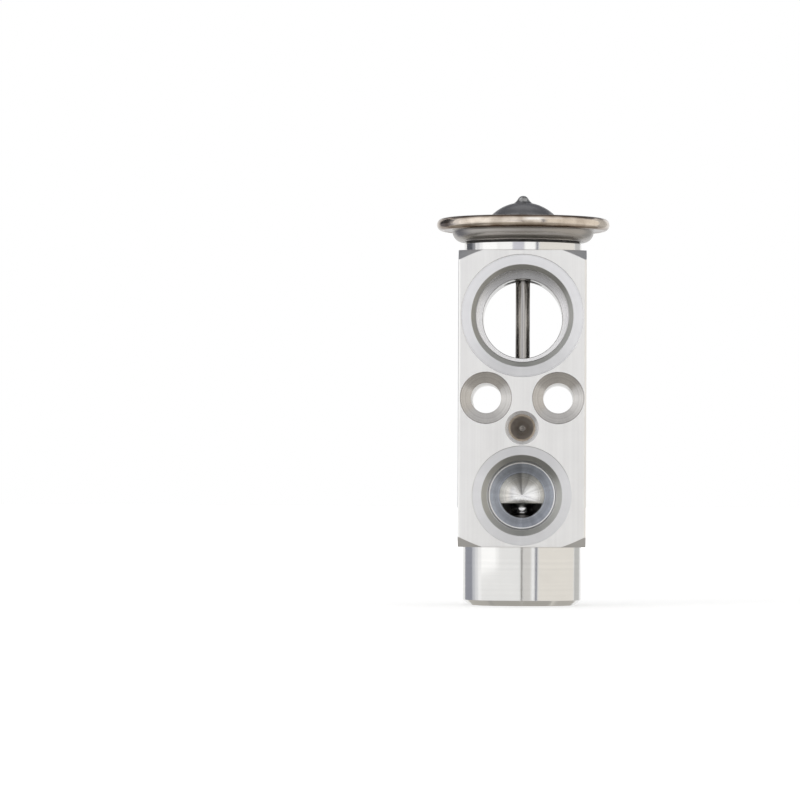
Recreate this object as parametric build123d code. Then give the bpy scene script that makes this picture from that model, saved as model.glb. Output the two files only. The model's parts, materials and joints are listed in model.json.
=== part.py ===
from build123d import *
import math
import os

# Block-type thermostatic expansion valve, in millimetres.
# Z is the spindle axis, with its origin in the underside of the spigot. The front face is on -Y.

# Machined block
block_width = 28.0
block_depth = 34.0
block_height = 65.0
axis_to_front = 19.0
block_edge_radius = 0.5
corner_cone_radius = 20.8
corner_cone_angle = 40.0
spigot_diameter = 26.2
spigot_length = 13.0
spigot_bevel = 1.2
neck_diameter = 26.0
neck_height = 2.1

# Heights of the cross holes above the underside of the block
inlet_rise = 11.3
outlet_rise = 17.8
tapped_rise = 26.1
bolt_rise = 32.6
suction_rise = 50.6

# Port mouths: spot facing, flat land, funnel for the sealing ring, bore for the tube end
spot_depth = 0.35
funnel_slope = 1.0
suction_spot_diameter = 26.7
suction_front_funnel_diameter = 22.3
suction_front_bore_diameter = 20.2
suction_rear_land_diameter = 24.8
suction_rear_funnel_diameter = 22.6
suction_rear_bore_diameter = 19.8
suction_bore_depth = 8.0
suction_passage_diameter = 17.5
suction_passage_drop = 0.4
inlet_spot_diameter = 21.6
inlet_funnel_diameter = 17.6
inlet_bore_diameter = 15.0
inlet_bore_depth = 9.0
inlet_drill_diameter = 9.8
inlet_drill_depth = 2.4
outlet_spot_diameter = 21.9
outlet_land_diameter = 18.8
outlet_funnel_diameter = 16.2
outlet_bore_diameter = 12.6
outlet_bore_depth = 8.0
outlet_passage_diameter = 11.4
outlet_past_axis = 3.2
outlet_end_radius = 2.0
drill_point_angle = 118.0

# Fixing holes
bolt_spacing = 15.8
bolt_hole_diameter = 6.6
bolt_seat_diameter = 11.0
bolt_seat_depth = 1.3
bolt_seat_angle = 118.0
bolt_hole_chamfer = 0.2
tapped_diameter = 5.9
tapped_depth = 11.0
tapped_countersink_diameter = 7.4

# Spring chamber, orifice and the vertical passages
chamber_diameter = 18.0
chamber_below_inlet = 1.7
adjuster_thread_diameter = 20.0
adjuster_thread_depth = 7.4
orifice_diameter = 3.4
orifice_chamfer = 0.5
equaliser_diameter = 8.8
neck_thread_diameter = 22.0
neck_thread_depth = 5.1

# Rod, pin, ball and their seals
valve_travel = 0.8
rod_diameter = 3.2
rod_end_rise = 33.0
rod_end_room = 1.2
rod_end_chamfer = 0.3
pin_diameter = 2.2
pin_tip_diameter = 1.55
pin_step_above_outlet = 1.0
seal_pocket_diameter = 7.0
seal_pocket_depth = 3.8
seal_section = 1.7
retainer_thickness = 0.9
retainer_gap = 0.1
ball_diameter = 5.0
carrier_flange_diameter = 12.4
carrier_flange_thickness = 1.2
carrier_cup_diameter = 6.4
carrier_cup_below_ball = 1.25
carrier_boss_diameter = 7.2
carrier_boss_length = 3.0
damper_thickness = 0.3
damper_blade_width = 4.0
damper_blade_height = 2.4
damper_blades = 3
damper_first_blade_angle = 90.0
damper_arm_setback = 1.0

# Spring and adjusting screw
wire_diameter = 1.5
spring_mean_diameter = 10.2
spring_turns = 5.0
screw_recess = 1.0
screw_travel = 0.5
screw_shoulder_room = 0.2
screw_collar_height = 3.9
screw_pocket_depth = 4.6
screw_pocket_diameter = 12.6
ring_section = 1.5
ring_groove_width = 1.9
ring_below_top = 0.7
hex_across_flats = 8.0
hex_depth = 4.6
screw_chamfer = 0.6

# Sensing head
head_diameter = 38.4
sheet = 1.2
bead_radius = 1.4
gasket_thickness = 0.4
gasket_inner_diameter = 23.0
gasket_outer_diameter = 25.2
bowl_foot_diameter = 26.6
bowl_corner_radius = 2.4
bowl_depth = 2.6
collar_bore_diameter = 14.0
collar_floor_gap = 0.4
diaphragm_thickness = 0.15
diaphragm_wave_start = 8.2
diaphragm_waves = 3
diaphragm_wave_depth = 0.3
dome_diameter = 15.8
dome_rise = 3.8
plug_shank_diameter = 1.9
plug_shank_length = 2.0
plug_cap_diameter = 2.7
plug_cap_height = 1.45
plug_foot = 0.7
plate_diameter = 15.6
plate_stop_room = 0.35
plate_hub_diameter = 6.4
plate_hub_length = 3.6
plate_socket_depth = 2.8

# Clearances
running_gap = 0.05
thread_gap = 0.08
seat_gap = 0.05

# Levels and places that follow from the sizes above
block_bottom = spigot_length
block_top = block_bottom + block_height
front_face = -axis_to_front
rear_face = block_depth - axis_to_front
block_centre_y = (front_face + rear_face) / 2
inlet_z = block_bottom + inlet_rise
outlet_z = block_bottom + outlet_rise
tapped_z = block_bottom + tapped_rise
bolt_z = block_bottom + bolt_rise
suction_z = block_bottom + suction_rise
neck_top = block_top + neck_height
neck_floor = neck_top - neck_thread_depth
chamber_top = inlet_z - chamber_below_inlet
passage_z = suction_z - suction_passage_drop
suction_floor = passage_z - suction_passage_diameter / 2
pocket_floor = suction_floor - seal_pocket_depth
rod_end = block_bottom + rod_end_rise

housing_foot = neck_top + gasket_thickness
split_level = housing_foot + bowl_depth + sheet
cover_foot = split_level + diaphragm_thickness
cover_top = cover_foot + sheet
bead_level = (split_level + cover_foot) / 2
flange_radius = head_diameter / 2 - bead_radius
bowl_radius = bowl_foot_diameter / 2 + bowl_corner_radius
clamp_radius = bowl_radius - sheet
dome_sphere = (dome_diameter**2 / 4 + dome_rise**2) / (2 * dome_rise)
dome_centre = cover_top + dome_rise - dome_sphere
plate_top = split_level - seat_gap
plate_thickness = bowl_depth - seat_gap - valve_travel - plate_stop_room
plate_socket_top = plate_top - plate_thickness - plate_hub_length + plate_socket_depth

# The ball rests on a 45 degree chamfer, so its centre is the square root of two radii below its apex.
seat_reach = orifice_diameter / 2 + orifice_chamfer
ball_z = chamber_top + seat_reach - math.sqrt(2) * (ball_diameter / 2 + seat_gap)
carrier_flange_top = ball_z - ball_diameter / 2
spring_top = carrier_flange_top - carrier_flange_thickness
screw_collar_foot = adjuster_thread_depth - screw_travel - screw_shoulder_room
screw_top = screw_collar_foot + screw_collar_height
spring_bottom = screw_top - screw_pocket_depth
ring_z = screw_top - ring_below_top - ring_groove_width / 2

over = 1.0  # how far a cutting tool stands out of the face that it enters


def turned(*outline):
    """Solid turned about Z from straight lines through (radius, height) points."""
    return revolve(Plane.XZ * make_face(Polyline(*outline, close=True)), Axis.Z)


def turned_edges(edges):
    """Solid turned about Z from lines and arcs in (radius, height)."""
    return revolve(Plane.XZ * make_face(edges), Axis.Z)


def tube(outer_diameter, inner_diameter, bottom, top):
    """Plain ring between two levels."""
    outer, inner = outer_diameter / 2, inner_diameter / 2
    return turned((inner, bottom), (outer, bottom), (outer, top), (inner, top))


def rod(diameter, bottom, top, chamfer_size=0.0):
    """Round bar between two levels, with both ends chamfered."""
    radius = diameter / 2
    if chamfer_size == 0:
        return turned((0, bottom), (radius, bottom), (radius, top), (0, top))
    flat = radius - chamfer_size
    return turned(
        (0, bottom),
        (flat, bottom),
        (radius, bottom + chamfer_size),
        (radius, top - chamfer_size),
        (flat, top),
        (0, top),
    )


def sealing_ring(section, inner_diameter, level):
    """O-ring with a round section."""
    middle = inner_diameter / 2 + section / 2
    return Pos(0, 0, level) * Torus(middle, section / 2)


def in_front(x, z, tool):
    """Places a tool turned about Z so that it enters the front face."""
    return Location((x, front_face, z), (-90, 0, 0)) * tool


def in_rear(x, z, tool):
    """Places a tool turned about Z so that it enters the rear face."""
    return Location((x, rear_face, z), (90, 0, 0)) * tool


def point_length(diameter, angle):
    """Length of a conical drill point."""
    return diameter / 2 / math.tan(math.radians(angle / 2))


def port_tool(spot, land, funnel, bore, bore_depth):
    """Cuts a spot facing, a flat land, the sealing funnel and the bore of a port."""
    funnel_end = spot_depth + (funnel - bore) / 2 * funnel_slope
    return turned(
        (0, -over),
        (spot / 2, -over),
        (spot / 2, 0),
        (land / 2, spot_depth),
        (funnel / 2, spot_depth),
        (bore / 2, funnel_end),
        (bore / 2, bore_depth),
        (0, bore_depth),
    )


def drill(diameter, depth, start=-over):
    """Cuts a round hole with a conical end below its full depth."""
    tip = depth + point_length(diameter, drill_point_angle)
    return turned((0, start), (diameter / 2, start), (diameter / 2, depth), (0, tip))


def block_blank():
    """Extruded block with rounded upright edges, the turned neck and spigot and coned corners."""
    centre_z = block_bottom + block_height / 2
    blank = Pos(0, block_centre_y, centre_z) * Box(block_width, block_depth, block_height)
    blank = fillet(blank.edges().filter_by(Axis.Z), block_edge_radius)
    spigot = spigot_diameter / 2
    blank += turned(
        (0, 0),
        (spigot - spigot_bevel, 0),
        (spigot, spigot_bevel),
        (spigot, block_bottom),
        (0, block_bottom),
    )
    blank += rod(neck_diameter, block_top, neck_top)
    reach = math.hypot(block_width, block_depth)
    drop = (reach - corner_cone_radius) * math.tan(math.radians(corner_cone_angle))
    for level, side in ((block_top, 1), (block_bottom, -1)):
        blank -= turned(
            (corner_cone_radius, level),
            (reach, level - side * drop),
            (reach, level + side * over),
            (corner_cone_radius, level + side * over),
        )
    return blank


def suction_passage():
    """Both suction mouths and the passage that joins them."""
    front = port_tool(
        suction_spot_diameter,
        suction_spot_diameter,
        suction_front_funnel_diameter,
        suction_front_bore_diameter,
        suction_bore_depth,
    )
    rear = port_tool(
        suction_spot_diameter,
        suction_rear_land_diameter,
        suction_rear_funnel_diameter,
        suction_rear_bore_diameter,
        suction_bore_depth,
    )
    middle = rod(suction_passage_diameter, 0, block_depth)
    return in_front(0, suction_z, front) + in_front(0, passage_z, middle) + in_rear(0, suction_z, rear)


def liquid_inlet():
    """Inlet mouth and its blind drilling, which opens into the spring chamber."""
    mouth = port_tool(
        inlet_spot_diameter,
        inlet_spot_diameter,
        inlet_funnel_diameter,
        inlet_bore_diameter,
        inlet_bore_depth,
    )
    blind = drill(inlet_drill_diameter, inlet_bore_depth + inlet_drill_depth, 0)
    return in_front(0, inlet_z, mouth + blind)


def evaporator_outlet():
    """Outlet mouth and its passage, which crosses the spindle axis and ends rounded."""
    mouth = port_tool(
        outlet_spot_diameter,
        outlet_land_diameter,
        outlet_funnel_diameter,
        outlet_bore_diameter,
        outlet_bore_depth,
    )
    passage = rod(outlet_passage_diameter, 0, rear_face + outlet_past_axis)
    passage = fillet(passage.edges().sort_by(Axis.Z)[-1], outlet_end_radius)
    return in_rear(0, outlet_z, mouth + passage)


def bolt_holes():
    """Two through holes with cone-floored seats in front and a chamfer behind."""
    hole, seat = bolt_hole_diameter / 2, bolt_seat_diameter / 2
    cone = (seat - hole) / math.tan(math.radians(bolt_seat_angle / 2))
    tool = turned(
        (0, -over),
        (seat, -over),
        (seat, bolt_seat_depth),
        (hole, bolt_seat_depth + cone),
        (hole, block_depth - bolt_hole_chamfer),
        (hole + bolt_hole_chamfer, block_depth),
        (hole + bolt_hole_chamfer, block_depth + over),
        (0, block_depth + over),
    )
    return [in_front(side * bolt_spacing / 2, bolt_z, tool) for side in (-1, 1)]


def tapped_hole():
    """Blind hole for a screw, with its countersink."""
    mouth, hole = tapped_countersink_diameter / 2, tapped_diameter / 2
    sink = turned((0, -over), (mouth, -over), (mouth, 0), (hole, mouth - hole), (0, mouth - hole))
    return in_front(0, tapped_z, sink + drill(tapped_diameter, tapped_depth))


def spindle_bores():
    """Everything bored along the spindle axis, from the spigot up to the neck."""
    orifice = orifice_diameter / 2
    return [
        rod(adjuster_thread_diameter, -over, adjuster_thread_depth),
        rod(chamber_diameter, 0, chamber_top),
        turned(
            (0, chamber_top - over),
            (seat_reach + over, chamber_top - over),
            (orifice, chamber_top + orifice_chamfer),
            (orifice, outlet_z),
            (0, outlet_z),
        ),
        rod(pin_diameter + 2 * running_gap, outlet_z, rod_end),
        rod(rod_diameter + 2 * running_gap, rod_end - valve_travel - rod_end_room, suction_z),
        rod(seal_pocket_diameter, pocket_floor, suction_z),
        rod(equaliser_diameter, suction_z, neck_top),
        rod(neck_thread_diameter, neck_floor, neck_top + over),
    ]


def valve_body():
    """The machined block with all its holes."""
    tools = [suction_passage(), liquid_inlet(), evaporator_outlet(), tapped_hole()]
    return block_blank() - tools - bolt_holes() - spindle_bores()


def head_lower_housing():
    """Pressed bowl with a flat foot, a round corner, a flange and the screwed collar."""
    foot, corner = bowl_foot_diameter / 2, bowl_corner_radius
    collar = neck_thread_diameter / 2 - thread_gap
    bore = collar_bore_diameter / 2
    inner = corner - sheet
    corner_z = housing_foot + corner
    collar_foot = neck_floor + collar_floor_gap
    half = math.sqrt(0.5)
    return turned_edges(
        [
            Polyline(
                (foot, housing_foot),
                (collar, housing_foot),
                (collar, collar_foot),
                (bore, collar_foot),
                (bore, housing_foot + sheet),
                (foot, housing_foot + sheet),
            ),
            ThreePointArc(
                (foot, housing_foot + sheet),
                (foot + inner * half, corner_z - inner * half),
                (foot + inner, corner_z),
            ),
            Polyline((foot + inner, corner_z), (foot + inner, split_level), (flange_radius, split_level)),
            Polyline(
                (flange_radius, split_level),
                (flange_radius, split_level - sheet),
                (bowl_radius, split_level - sheet),
                (bowl_radius, corner_z),
            ),
            ThreePointArc(
                (bowl_radius, corner_z),
                (foot + corner * half, corner_z - corner * half),
                (foot, housing_foot),
            ),
        ]
    )


def diaphragm():
    """Thin disc with ring-shaped waves, clamped at its edge."""
    pitch = (clamp_radius - diaphragm_wave_start) / diaphragm_waves
    edges = []
    for level in (split_level, cover_foot):
        edges.append(Line((0, level), (diaphragm_wave_start, level)))
        for wave in range(diaphragm_waves):
            start = diaphragm_wave_start + wave * pitch
            low = (start + pitch / 2, level - diaphragm_wave_depth)
            edges.append(ThreePointArc((start, level), low, (start + pitch, level)))
        edges.append(Line((clamp_radius, level), (flange_radius, level)))
    edges.append(Line((0, split_level), (0, cover_foot)))
    edges.append(Line((flange_radius, split_level), (flange_radius, cover_foot)))
    return turned_edges(edges)


def on_sphere(sphere, radius):
    """Point of the dome's outline at a radius from the spindle axis."""
    return (radius, dome_centre + math.sqrt(sphere**2 - radius**2))


def head_cover():
    """Flat flange with a dome, pierced for the charge plug."""
    inner_sphere = dome_sphere - sheet
    hole = plug_shank_diameter / 2 + seat_gap
    dome_foot = dome_diameter / 2
    inner_foot = math.sqrt(inner_sphere**2 - (cover_foot - dome_centre) ** 2)
    return turned_edges(
        [
            ThreePointArc(
                on_sphere(dome_sphere, hole),
                on_sphere(dome_sphere, dome_foot / 2),
                (dome_foot, cover_top),
            ),
            Polyline(
                (dome_foot, cover_top),
                (flange_radius, cover_top),
                (flange_radius, cover_foot),
                (inner_foot, cover_foot),
            ),
            ThreePointArc(
                (inner_foot, cover_foot),
                on_sphere(inner_sphere, inner_foot / 2),
                on_sphere(inner_sphere, hole),
            ),
            Line(on_sphere(inner_sphere, hole), on_sphere(dome_sphere, hole)),
        ]
    )


def rim_weld():
    """Half-round bead round the edges of both flanges."""
    inner = flange_radius + seat_gap / 2
    outer = head_diameter / 2
    low, high = (inner, bead_level - bead_radius), (inner, bead_level + bead_radius)
    return turned_edges([ThreePointArc(low, (outer, bead_level), high), Line(high, low)])


def charge_plug():
    """Plug in the dome: a shank, a small welded foot and a round cap."""
    shank, cap = plug_shank_diameter / 2, plug_cap_diameter / 2
    lifted = dome_sphere + seat_gap / 2
    foot = cap + plug_foot
    apex = cover_top + dome_rise
    shank_end = apex - plug_shank_length
    cap_centre = apex + plug_cap_height - cap
    half = cap * math.sqrt(0.5)
    return turned_edges(
        [
            Polyline((0, apex + plug_cap_height), (0, shank_end), (shank, shank_end)),
            Line((shank, shank_end), on_sphere(lifted, shank)),
            ThreePointArc(
                on_sphere(lifted, shank),
                on_sphere(lifted, (shank + foot) / 2),
                on_sphere(lifted, foot),
            ),
            Line(on_sphere(lifted, foot), (cap, cap_centre)),
            ThreePointArc((cap, cap_centre), (half, cap_centre + half), (0, cap_centre + cap)),
        ]
    )


def diaphragm_plate():
    """Disc that carries the diaphragm, with a hub and a socket for the rod."""
    disc_foot = plate_top - plate_thickness
    hub_foot = disc_foot - plate_hub_length
    disc, hub = plate_diameter / 2, plate_hub_diameter / 2
    socket = rod_diameter / 2 + running_gap
    return turned(
        (0, plate_top),
        (disc, plate_top),
        (disc, disc_foot),
        (hub, disc_foot),
        (hub, hub_foot),
        (socket, hub_foot),
        (socket, plate_socket_top),
        (0, plate_socket_top),
    )


def push_pin():
    """Pin with a thinner tip, which reaches through the orifice to the ball."""
    body, tip = pin_diameter / 2, pin_tip_diameter / 2
    step = outlet_z + pin_step_above_outlet
    tip_end = ball_z + ball_diameter / 2 + seat_gap
    return turned(
        (0, tip_end),
        (tip, tip_end),
        (tip, step),
        (body, step + (body - tip)),
        (body, rod_end),
        (0, rod_end),
    )


def seal_retainer():
    """Ring pressed into the pocket above the rod seal."""
    bottom = pocket_floor + 2 * seat_gap + seal_section
    inner = rod_diameter + 2 * retainer_gap
    return tube(seal_pocket_diameter - 2 * seat_gap, inner, bottom, bottom + retainer_thickness)


def rod_seal():
    """O-ring round the sensing rod."""
    level = pocket_floor + seat_gap + seal_section / 2
    return sealing_ring(seal_section, rod_diameter + 2 * running_gap, level)


def ball_carrier():
    """Flanged cup with a round hollow for the ball and a boss inside the spring."""
    cup, flange, boss = carrier_cup_diameter / 2, carrier_flange_diameter / 2, carrier_boss_diameter / 2
    cup_top = ball_z - carrier_cup_below_ball
    carrier = turned(
        (0, spring_top - carrier_boss_length),
        (boss, spring_top - carrier_boss_length),
        (boss, spring_top),
        (flange, spring_top),
        (flange, carrier_flange_top),
        (cup, carrier_flange_top),
        (cup, cup_top),
        (0, cup_top),
    )
    return carrier - Pos(0, 0, ball_z) * Sphere(ball_diameter / 2 + seat_gap)


def damper_spring():
    """Ring on the carrier with upright blades that run along the chamber wall."""
    bottom = carrier_flange_top
    reach = chamber_diameter / 2 - 2 * running_gap
    ring = tube(carrier_flange_diameter, carrier_cup_diameter + 2 * seat_gap, bottom, bottom + damper_thickness)
    wall = tube(2 * reach, 2 * (reach - damper_thickness), bottom, bottom + damper_blade_height)
    arm_length = reach - carrier_cup_diameter / 2 - damper_arm_setback
    arm_middle = reach - damper_thickness / 2 - arm_length / 2
    for index in range(damper_blades):
        turn = Rot(0, 0, damper_first_blade_angle + index * 360 / damper_blades)
        arm = Box(arm_length, damper_blade_width, damper_thickness)
        ring += turn * Pos(arm_middle, 0, bottom + damper_thickness / 2) * arm
        slot = Box(reach, damper_blade_width, 2 * damper_blade_height)
        ring += wall & turn * Pos(reach / 2 + over, 0, bottom + damper_blade_height) * slot
    return ring


def superheat_spring():
    """Coil spring between the carrier and the adjusting screw."""
    low = spring_bottom + seat_gap + wire_diameter / 2
    height = spring_top - seat_gap - wire_diameter / 2 - low
    coil = Helix(height / spring_turns, height, spring_mean_diameter / 2, center=(0, 0, low))
    section = (coil ^ 0) * Circle(wire_diameter / 2)
    return sweep(section, path=coil)


def adjusting_screw():
    """Plug screwed into the spigot: thread, ring groove, spring pocket and hex socket."""
    thread = adjuster_thread_diameter / 2 - thread_gap
    collar = chamber_diameter / 2 - thread_gap
    groove = collar - ring_section - running_gap
    half_groove = ring_groove_width / 2
    body = turned(
        (0, screw_recess),
        (thread - screw_chamfer, screw_recess),
        (thread, screw_recess + screw_chamfer),
        (thread, screw_collar_foot - screw_chamfer),
        (collar, screw_collar_foot),
        (collar, ring_z - half_groove),
        (groove, ring_z - half_groove),
        (groove, ring_z + half_groove),
        (collar, ring_z + half_groove),
        (collar, screw_top),
        (0, screw_top),
    )
    socket = extrude(RegularPolygon(hex_across_flats / 2, 6, major_radius=False), hex_depth + over)
    pocket = rod(screw_pocket_diameter, spring_bottom, screw_top + over)
    return body - Pos(0, 0, screw_recess - over) * socket - pocket


def adjuster_o_ring():
    """O-ring in the groove of the adjusting screw."""
    inner = chamber_diameter - 2 * (thread_gap + ring_section)
    return sealing_ring(ring_section, inner, ring_z)


pieces = {
    "valve_body": valve_body(),
    "head_lower_housing": head_lower_housing(),
    "head_cover": head_cover(),
    "diaphragm": diaphragm(),
    "rim_weld": rim_weld(),
    "charge_plug": charge_plug(),
    "diaphragm_plate": diaphragm_plate(),
    "head_gasket": tube(gasket_outer_diameter, gasket_inner_diameter, neck_top, housing_foot),
    "sensing_rod": rod(rod_diameter, rod_end, plate_socket_top, rod_end_chamfer),
    "push_pin": push_pin(),
    "rod_seal": rod_seal(),
    "seal_retainer": seal_retainer(),
    "valve_ball": Pos(0, 0, ball_z) * Sphere(ball_diameter / 2),
    "ball_carrier": ball_carrier(),
    "damper_spring": damper_spring(),
    "superheat_spring": superheat_spring(),
    "adjusting_screw": adjusting_screw(),
    "adjuster_o_ring": adjuster_o_ring(),
}

os.makedirs("parts", exist_ok=True)
for name, solid in pieces.items():
    export_step(solid, f"parts/{name}.step")
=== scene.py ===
import json
import math

import bmesh
import bpy
from bpy.props import FloatProperty, FloatVectorProperty, IntProperty, PointerProperty
from mathutils import Matrix, Vector


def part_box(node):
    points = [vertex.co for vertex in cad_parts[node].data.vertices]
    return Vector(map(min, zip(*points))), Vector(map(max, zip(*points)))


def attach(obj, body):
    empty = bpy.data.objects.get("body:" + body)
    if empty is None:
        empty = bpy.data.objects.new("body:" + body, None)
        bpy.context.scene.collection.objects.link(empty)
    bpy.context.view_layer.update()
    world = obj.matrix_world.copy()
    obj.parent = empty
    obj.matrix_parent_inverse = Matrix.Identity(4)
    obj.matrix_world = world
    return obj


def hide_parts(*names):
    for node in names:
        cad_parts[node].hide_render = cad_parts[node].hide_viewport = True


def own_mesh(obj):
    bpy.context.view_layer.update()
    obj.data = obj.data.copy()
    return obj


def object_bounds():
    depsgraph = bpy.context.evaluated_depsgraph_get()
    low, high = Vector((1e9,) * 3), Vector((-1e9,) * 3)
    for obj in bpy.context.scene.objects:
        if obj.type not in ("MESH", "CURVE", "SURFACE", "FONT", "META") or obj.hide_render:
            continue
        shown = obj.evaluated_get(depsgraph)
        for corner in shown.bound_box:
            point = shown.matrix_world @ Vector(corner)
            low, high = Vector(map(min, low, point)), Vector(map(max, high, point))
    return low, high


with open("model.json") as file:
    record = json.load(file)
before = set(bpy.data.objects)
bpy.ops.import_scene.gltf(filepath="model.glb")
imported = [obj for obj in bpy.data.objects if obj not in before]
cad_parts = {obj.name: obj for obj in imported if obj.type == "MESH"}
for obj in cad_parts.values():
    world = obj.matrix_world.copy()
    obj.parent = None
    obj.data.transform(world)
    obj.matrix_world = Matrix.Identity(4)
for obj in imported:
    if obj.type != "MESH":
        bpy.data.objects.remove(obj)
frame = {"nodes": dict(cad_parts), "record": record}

bl_info = {
    "name": "Block expansion valve",
    "version": (1, 0, 0),
    "blender": (4, 5, 0),
    "location": "3D View > Sidebar > Valve",
    "description": "Dresses a block-type thermostatic expansion valve and its studio",
    "category": "Object",
}

MM = 0.001
CAD_LOW, CAD_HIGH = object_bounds()
BODY_LOW, BODY_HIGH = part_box("valve_body")
BODY_DEPTH = BODY_HIGH.y - BODY_LOW.y
MOUNTS = {mount["name"]: mount for mount in frame["record"]["mounts"]}
OVER = 1.0 * MM  # how far a cutter stands out of the face that it enters
JOINED = 2.0 * MM  # how far the spigot and the neck reach into the bar
PASSAGE_END = 2.7 * MM  # how far from the suction axis the spindle cutters end
LATHE_MERGE = 0.0005 * MM  # points of a turned mesh nearer than this become one
CUT_MERGE = 0.002 * MM  # points of a cut mesh nearer than this become one
ROUND_STEPS = 160
SMOOTH_ANGLE = math.radians(20)
ABOUT_Y, ABOUT_Z, LEVELS = (1, 0, 1), (1, 1, 0), (0, 0, 1)  # directions that turning marks are measured in
WHITE = (1, 1, 1, 1)
# Painted marks of the weld bead, painted shade on its left and a painted highlight where it closes: middle
# and half length along it, then across it in shares of its half height
# Painted shade on the bead's left side, in the heat-tint colour
LEFT_SHADE_MARK = (-17.6 * MM, 2.3 * MM, 0.0, 1.4)
# Painted highlight where the weld closes, and its near-white colour
CLOSING_GLINT_MARK = (2.4 * MM, 2.7 * MM, 0.3, 0.28)
CLOSING_GLINT_TONE = (1.0, 0.97, 0.92)


def length(name, millimetres, description):
    """Property for a length, given in millimetres and stored in metres."""
    return FloatProperty(
        name=name, description=description, default=millimetres * MM, unit="LENGTH", precision=5
    )


def colour(name, value, description):
    """Property for a linear colour."""
    return FloatVectorProperty(
        name=name, description=description, default=value, subtype="COLOR", size=3, min=0, max=1
    )


def share(name, value, description):
    """Property for a plain number between 0 and 1."""
    return FloatProperty(name=name, description=description, default=value, min=0, max=1)


def angle(name, degrees, description):
    """Property for an angle, given in degrees."""
    return FloatProperty(name=name, description=description, default=math.radians(degrees), subtype="ANGLE")


def power(name, watts, description):
    """Property for the power of a lamp."""
    return FloatProperty(name=name, description=description, default=watts, unit="POWER")


class ValveBlockSizes(bpy.types.PropertyGroup):
    """Sizes of the machined block."""

    edge_radius: length("Upright edges", 0.5, "Radius of the block's four upright edges")
    edge_break: length("Edge break", 0.1, "Small chamfer on machined edges")
    block_bottom: length("Spigot length", 13.0, "Height of the block's underside above the spigot's")
    block_top: length("Block top", 78.0, "Height of the block's top face")
    spigot_diameter: length("Spigot", 26.2, "Diameter of the round spigot")
    spigot_bevel: length("Spigot bevel", 1.2, "Bevel at the foot of the spigot")
    neck_diameter: length("Neck", 26.0, "Diameter of the round neck")
    cone_radius: length("Corner cone", 20.8, "Radius at which the front corners begin to slope")
    cone_angle: angle("Cone slope", 40, "Slope of the coned corners")
    chamber_diameter: length("Chamber", 18.0, "Diameter of the spring chamber")
    chamber_top: length("Chamber top", 22.6, "Height of the chamber's ceiling")
    adjuster_thread: length("Adjuster thread", 20.0, "Diameter of the adjusting screw's thread")
    adjuster_depth: length("Adjuster depth", 7.4, "Depth of the adjusting screw's thread")
    orifice_diameter: length("Orifice", 3.4, "Diameter of the orifice")
    orifice_chamfer: length("Seat", 0.5, "Chamfer of the ball seat")
    pin_bore: length("Pin bore", 2.3, "Bore for the push pin")
    rod_bore: length("Rod bore", 3.3, "Bore for the sensing rod")
    rod_bore_foot: length("Rod bore foot", 44.0, "Height of the lower end of the rod's bore")
    pocket_diameter: length("Seal pocket", 7.0, "Diameter of the pocket for the rod seal")
    pocket_floor: length("Pocket floor", 50.65, "Height of the pocket's floor")
    equaliser_diameter: length("Equaliser", 8.8, "Passage round the rod into the head")
    neck_thread: length("Neck thread", 22.0, "Diameter of the thread in the neck")
    neck_floor: length("Neck floor", 75.0, "Height of the floor of the neck's bore")


class ValvePortSizes(bpy.types.PropertyGroup):
    """Sizes of the ports and fixing holes."""

    spot_depth: length("Spot depth", 0.35, "Depth of the ring faced round each port")
    suction_spot: length("Suction spot", 26.7, "Outer diameter of the suction ports' faced rings")
    suction_funnel: length("Front funnel", 22.3, "Mouth of the front suction port's funnel")
    suction_rear_land: length("Rear land", 24.8, "Flat inside the rear suction port's sloped ring")
    suction_rear_funnel: length("Rear funnel", 22.6, "Mouth of the rear suction port's funnel")
    suction_depth: length("Suction depth", 8.0, "Depth of the suction bores")
    suction_passage: length("Passage", 17.5, "Diameter of the passage between the suction ports")
    suction_drop: length("Passage drop", 0.4, "How far the passage lies below the suction ports' axis")
    inlet_spot: length("Inlet spot", 21.6, "Outer diameter of the inlet's faced ring")
    inlet_funnel: length("Inlet funnel", 17.6, "Mouth of the inlet's funnel")
    inlet_depth: length("Inlet depth", 9.0, "Depth of the inlet's bore")
    inlet_corner_radius: length("Inlet corner", 0.45, "Radius where the inlet's wall meets its floor")
    inlet_drill: length("Inlet drill", 9.8, "Diameter of the inlet's blind drilling")
    inlet_drill_depth: length("Drill depth", 2.4, "Full depth of the blind drilling below the bore")
    outlet_spot: length("Outlet spot", 21.9, "Outer diameter of the outlet's faced ring")
    outlet_land: length("Outlet land", 18.8, "Flat inside the outlet's sloped ring")
    outlet_funnel: length("Outlet funnel", 16.2, "Mouth of the outlet's funnel")
    outlet_depth: length("Outlet depth", 8.0, "Depth of the outlet's bore")
    outlet_passage: length("Outlet passage", 11.4, "Diameter of the outlet's passage")
    outlet_past_axis: length("Past axis", 3.2, "How far the outlet's passage goes past the spindle")
    outlet_end_radius: length("Passage end", 2.0, "Radius at the end of the outlet's passage")
    drill_angle: angle("Drill point", 118, "Included angle of the drill points")
    bolt_seat: length("Bolt seat", 11.0, "Diameter of the bolt seats")
    bolt_seat_depth: length("Seat depth", 1.3, "Depth of the bolt seats' straight wall")
    tapped_sink: length("Countersink", 7.4, "Mouth of the tapped hole")
    tapped_depth: length("Tapped depth", 11.0, "Depth of the tapped hole")
    tapped_core: length("Thread core", 5.1, "Inner diameter of the tapped hole's thread")
    tapped_lead: length("Thread lead", 1.3, "How far below its countersink the tapped hole's thread begins")
    tapped_pitch: length("Thread pitch", 1.0, "Pitch of the tapped hole's thread")


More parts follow.
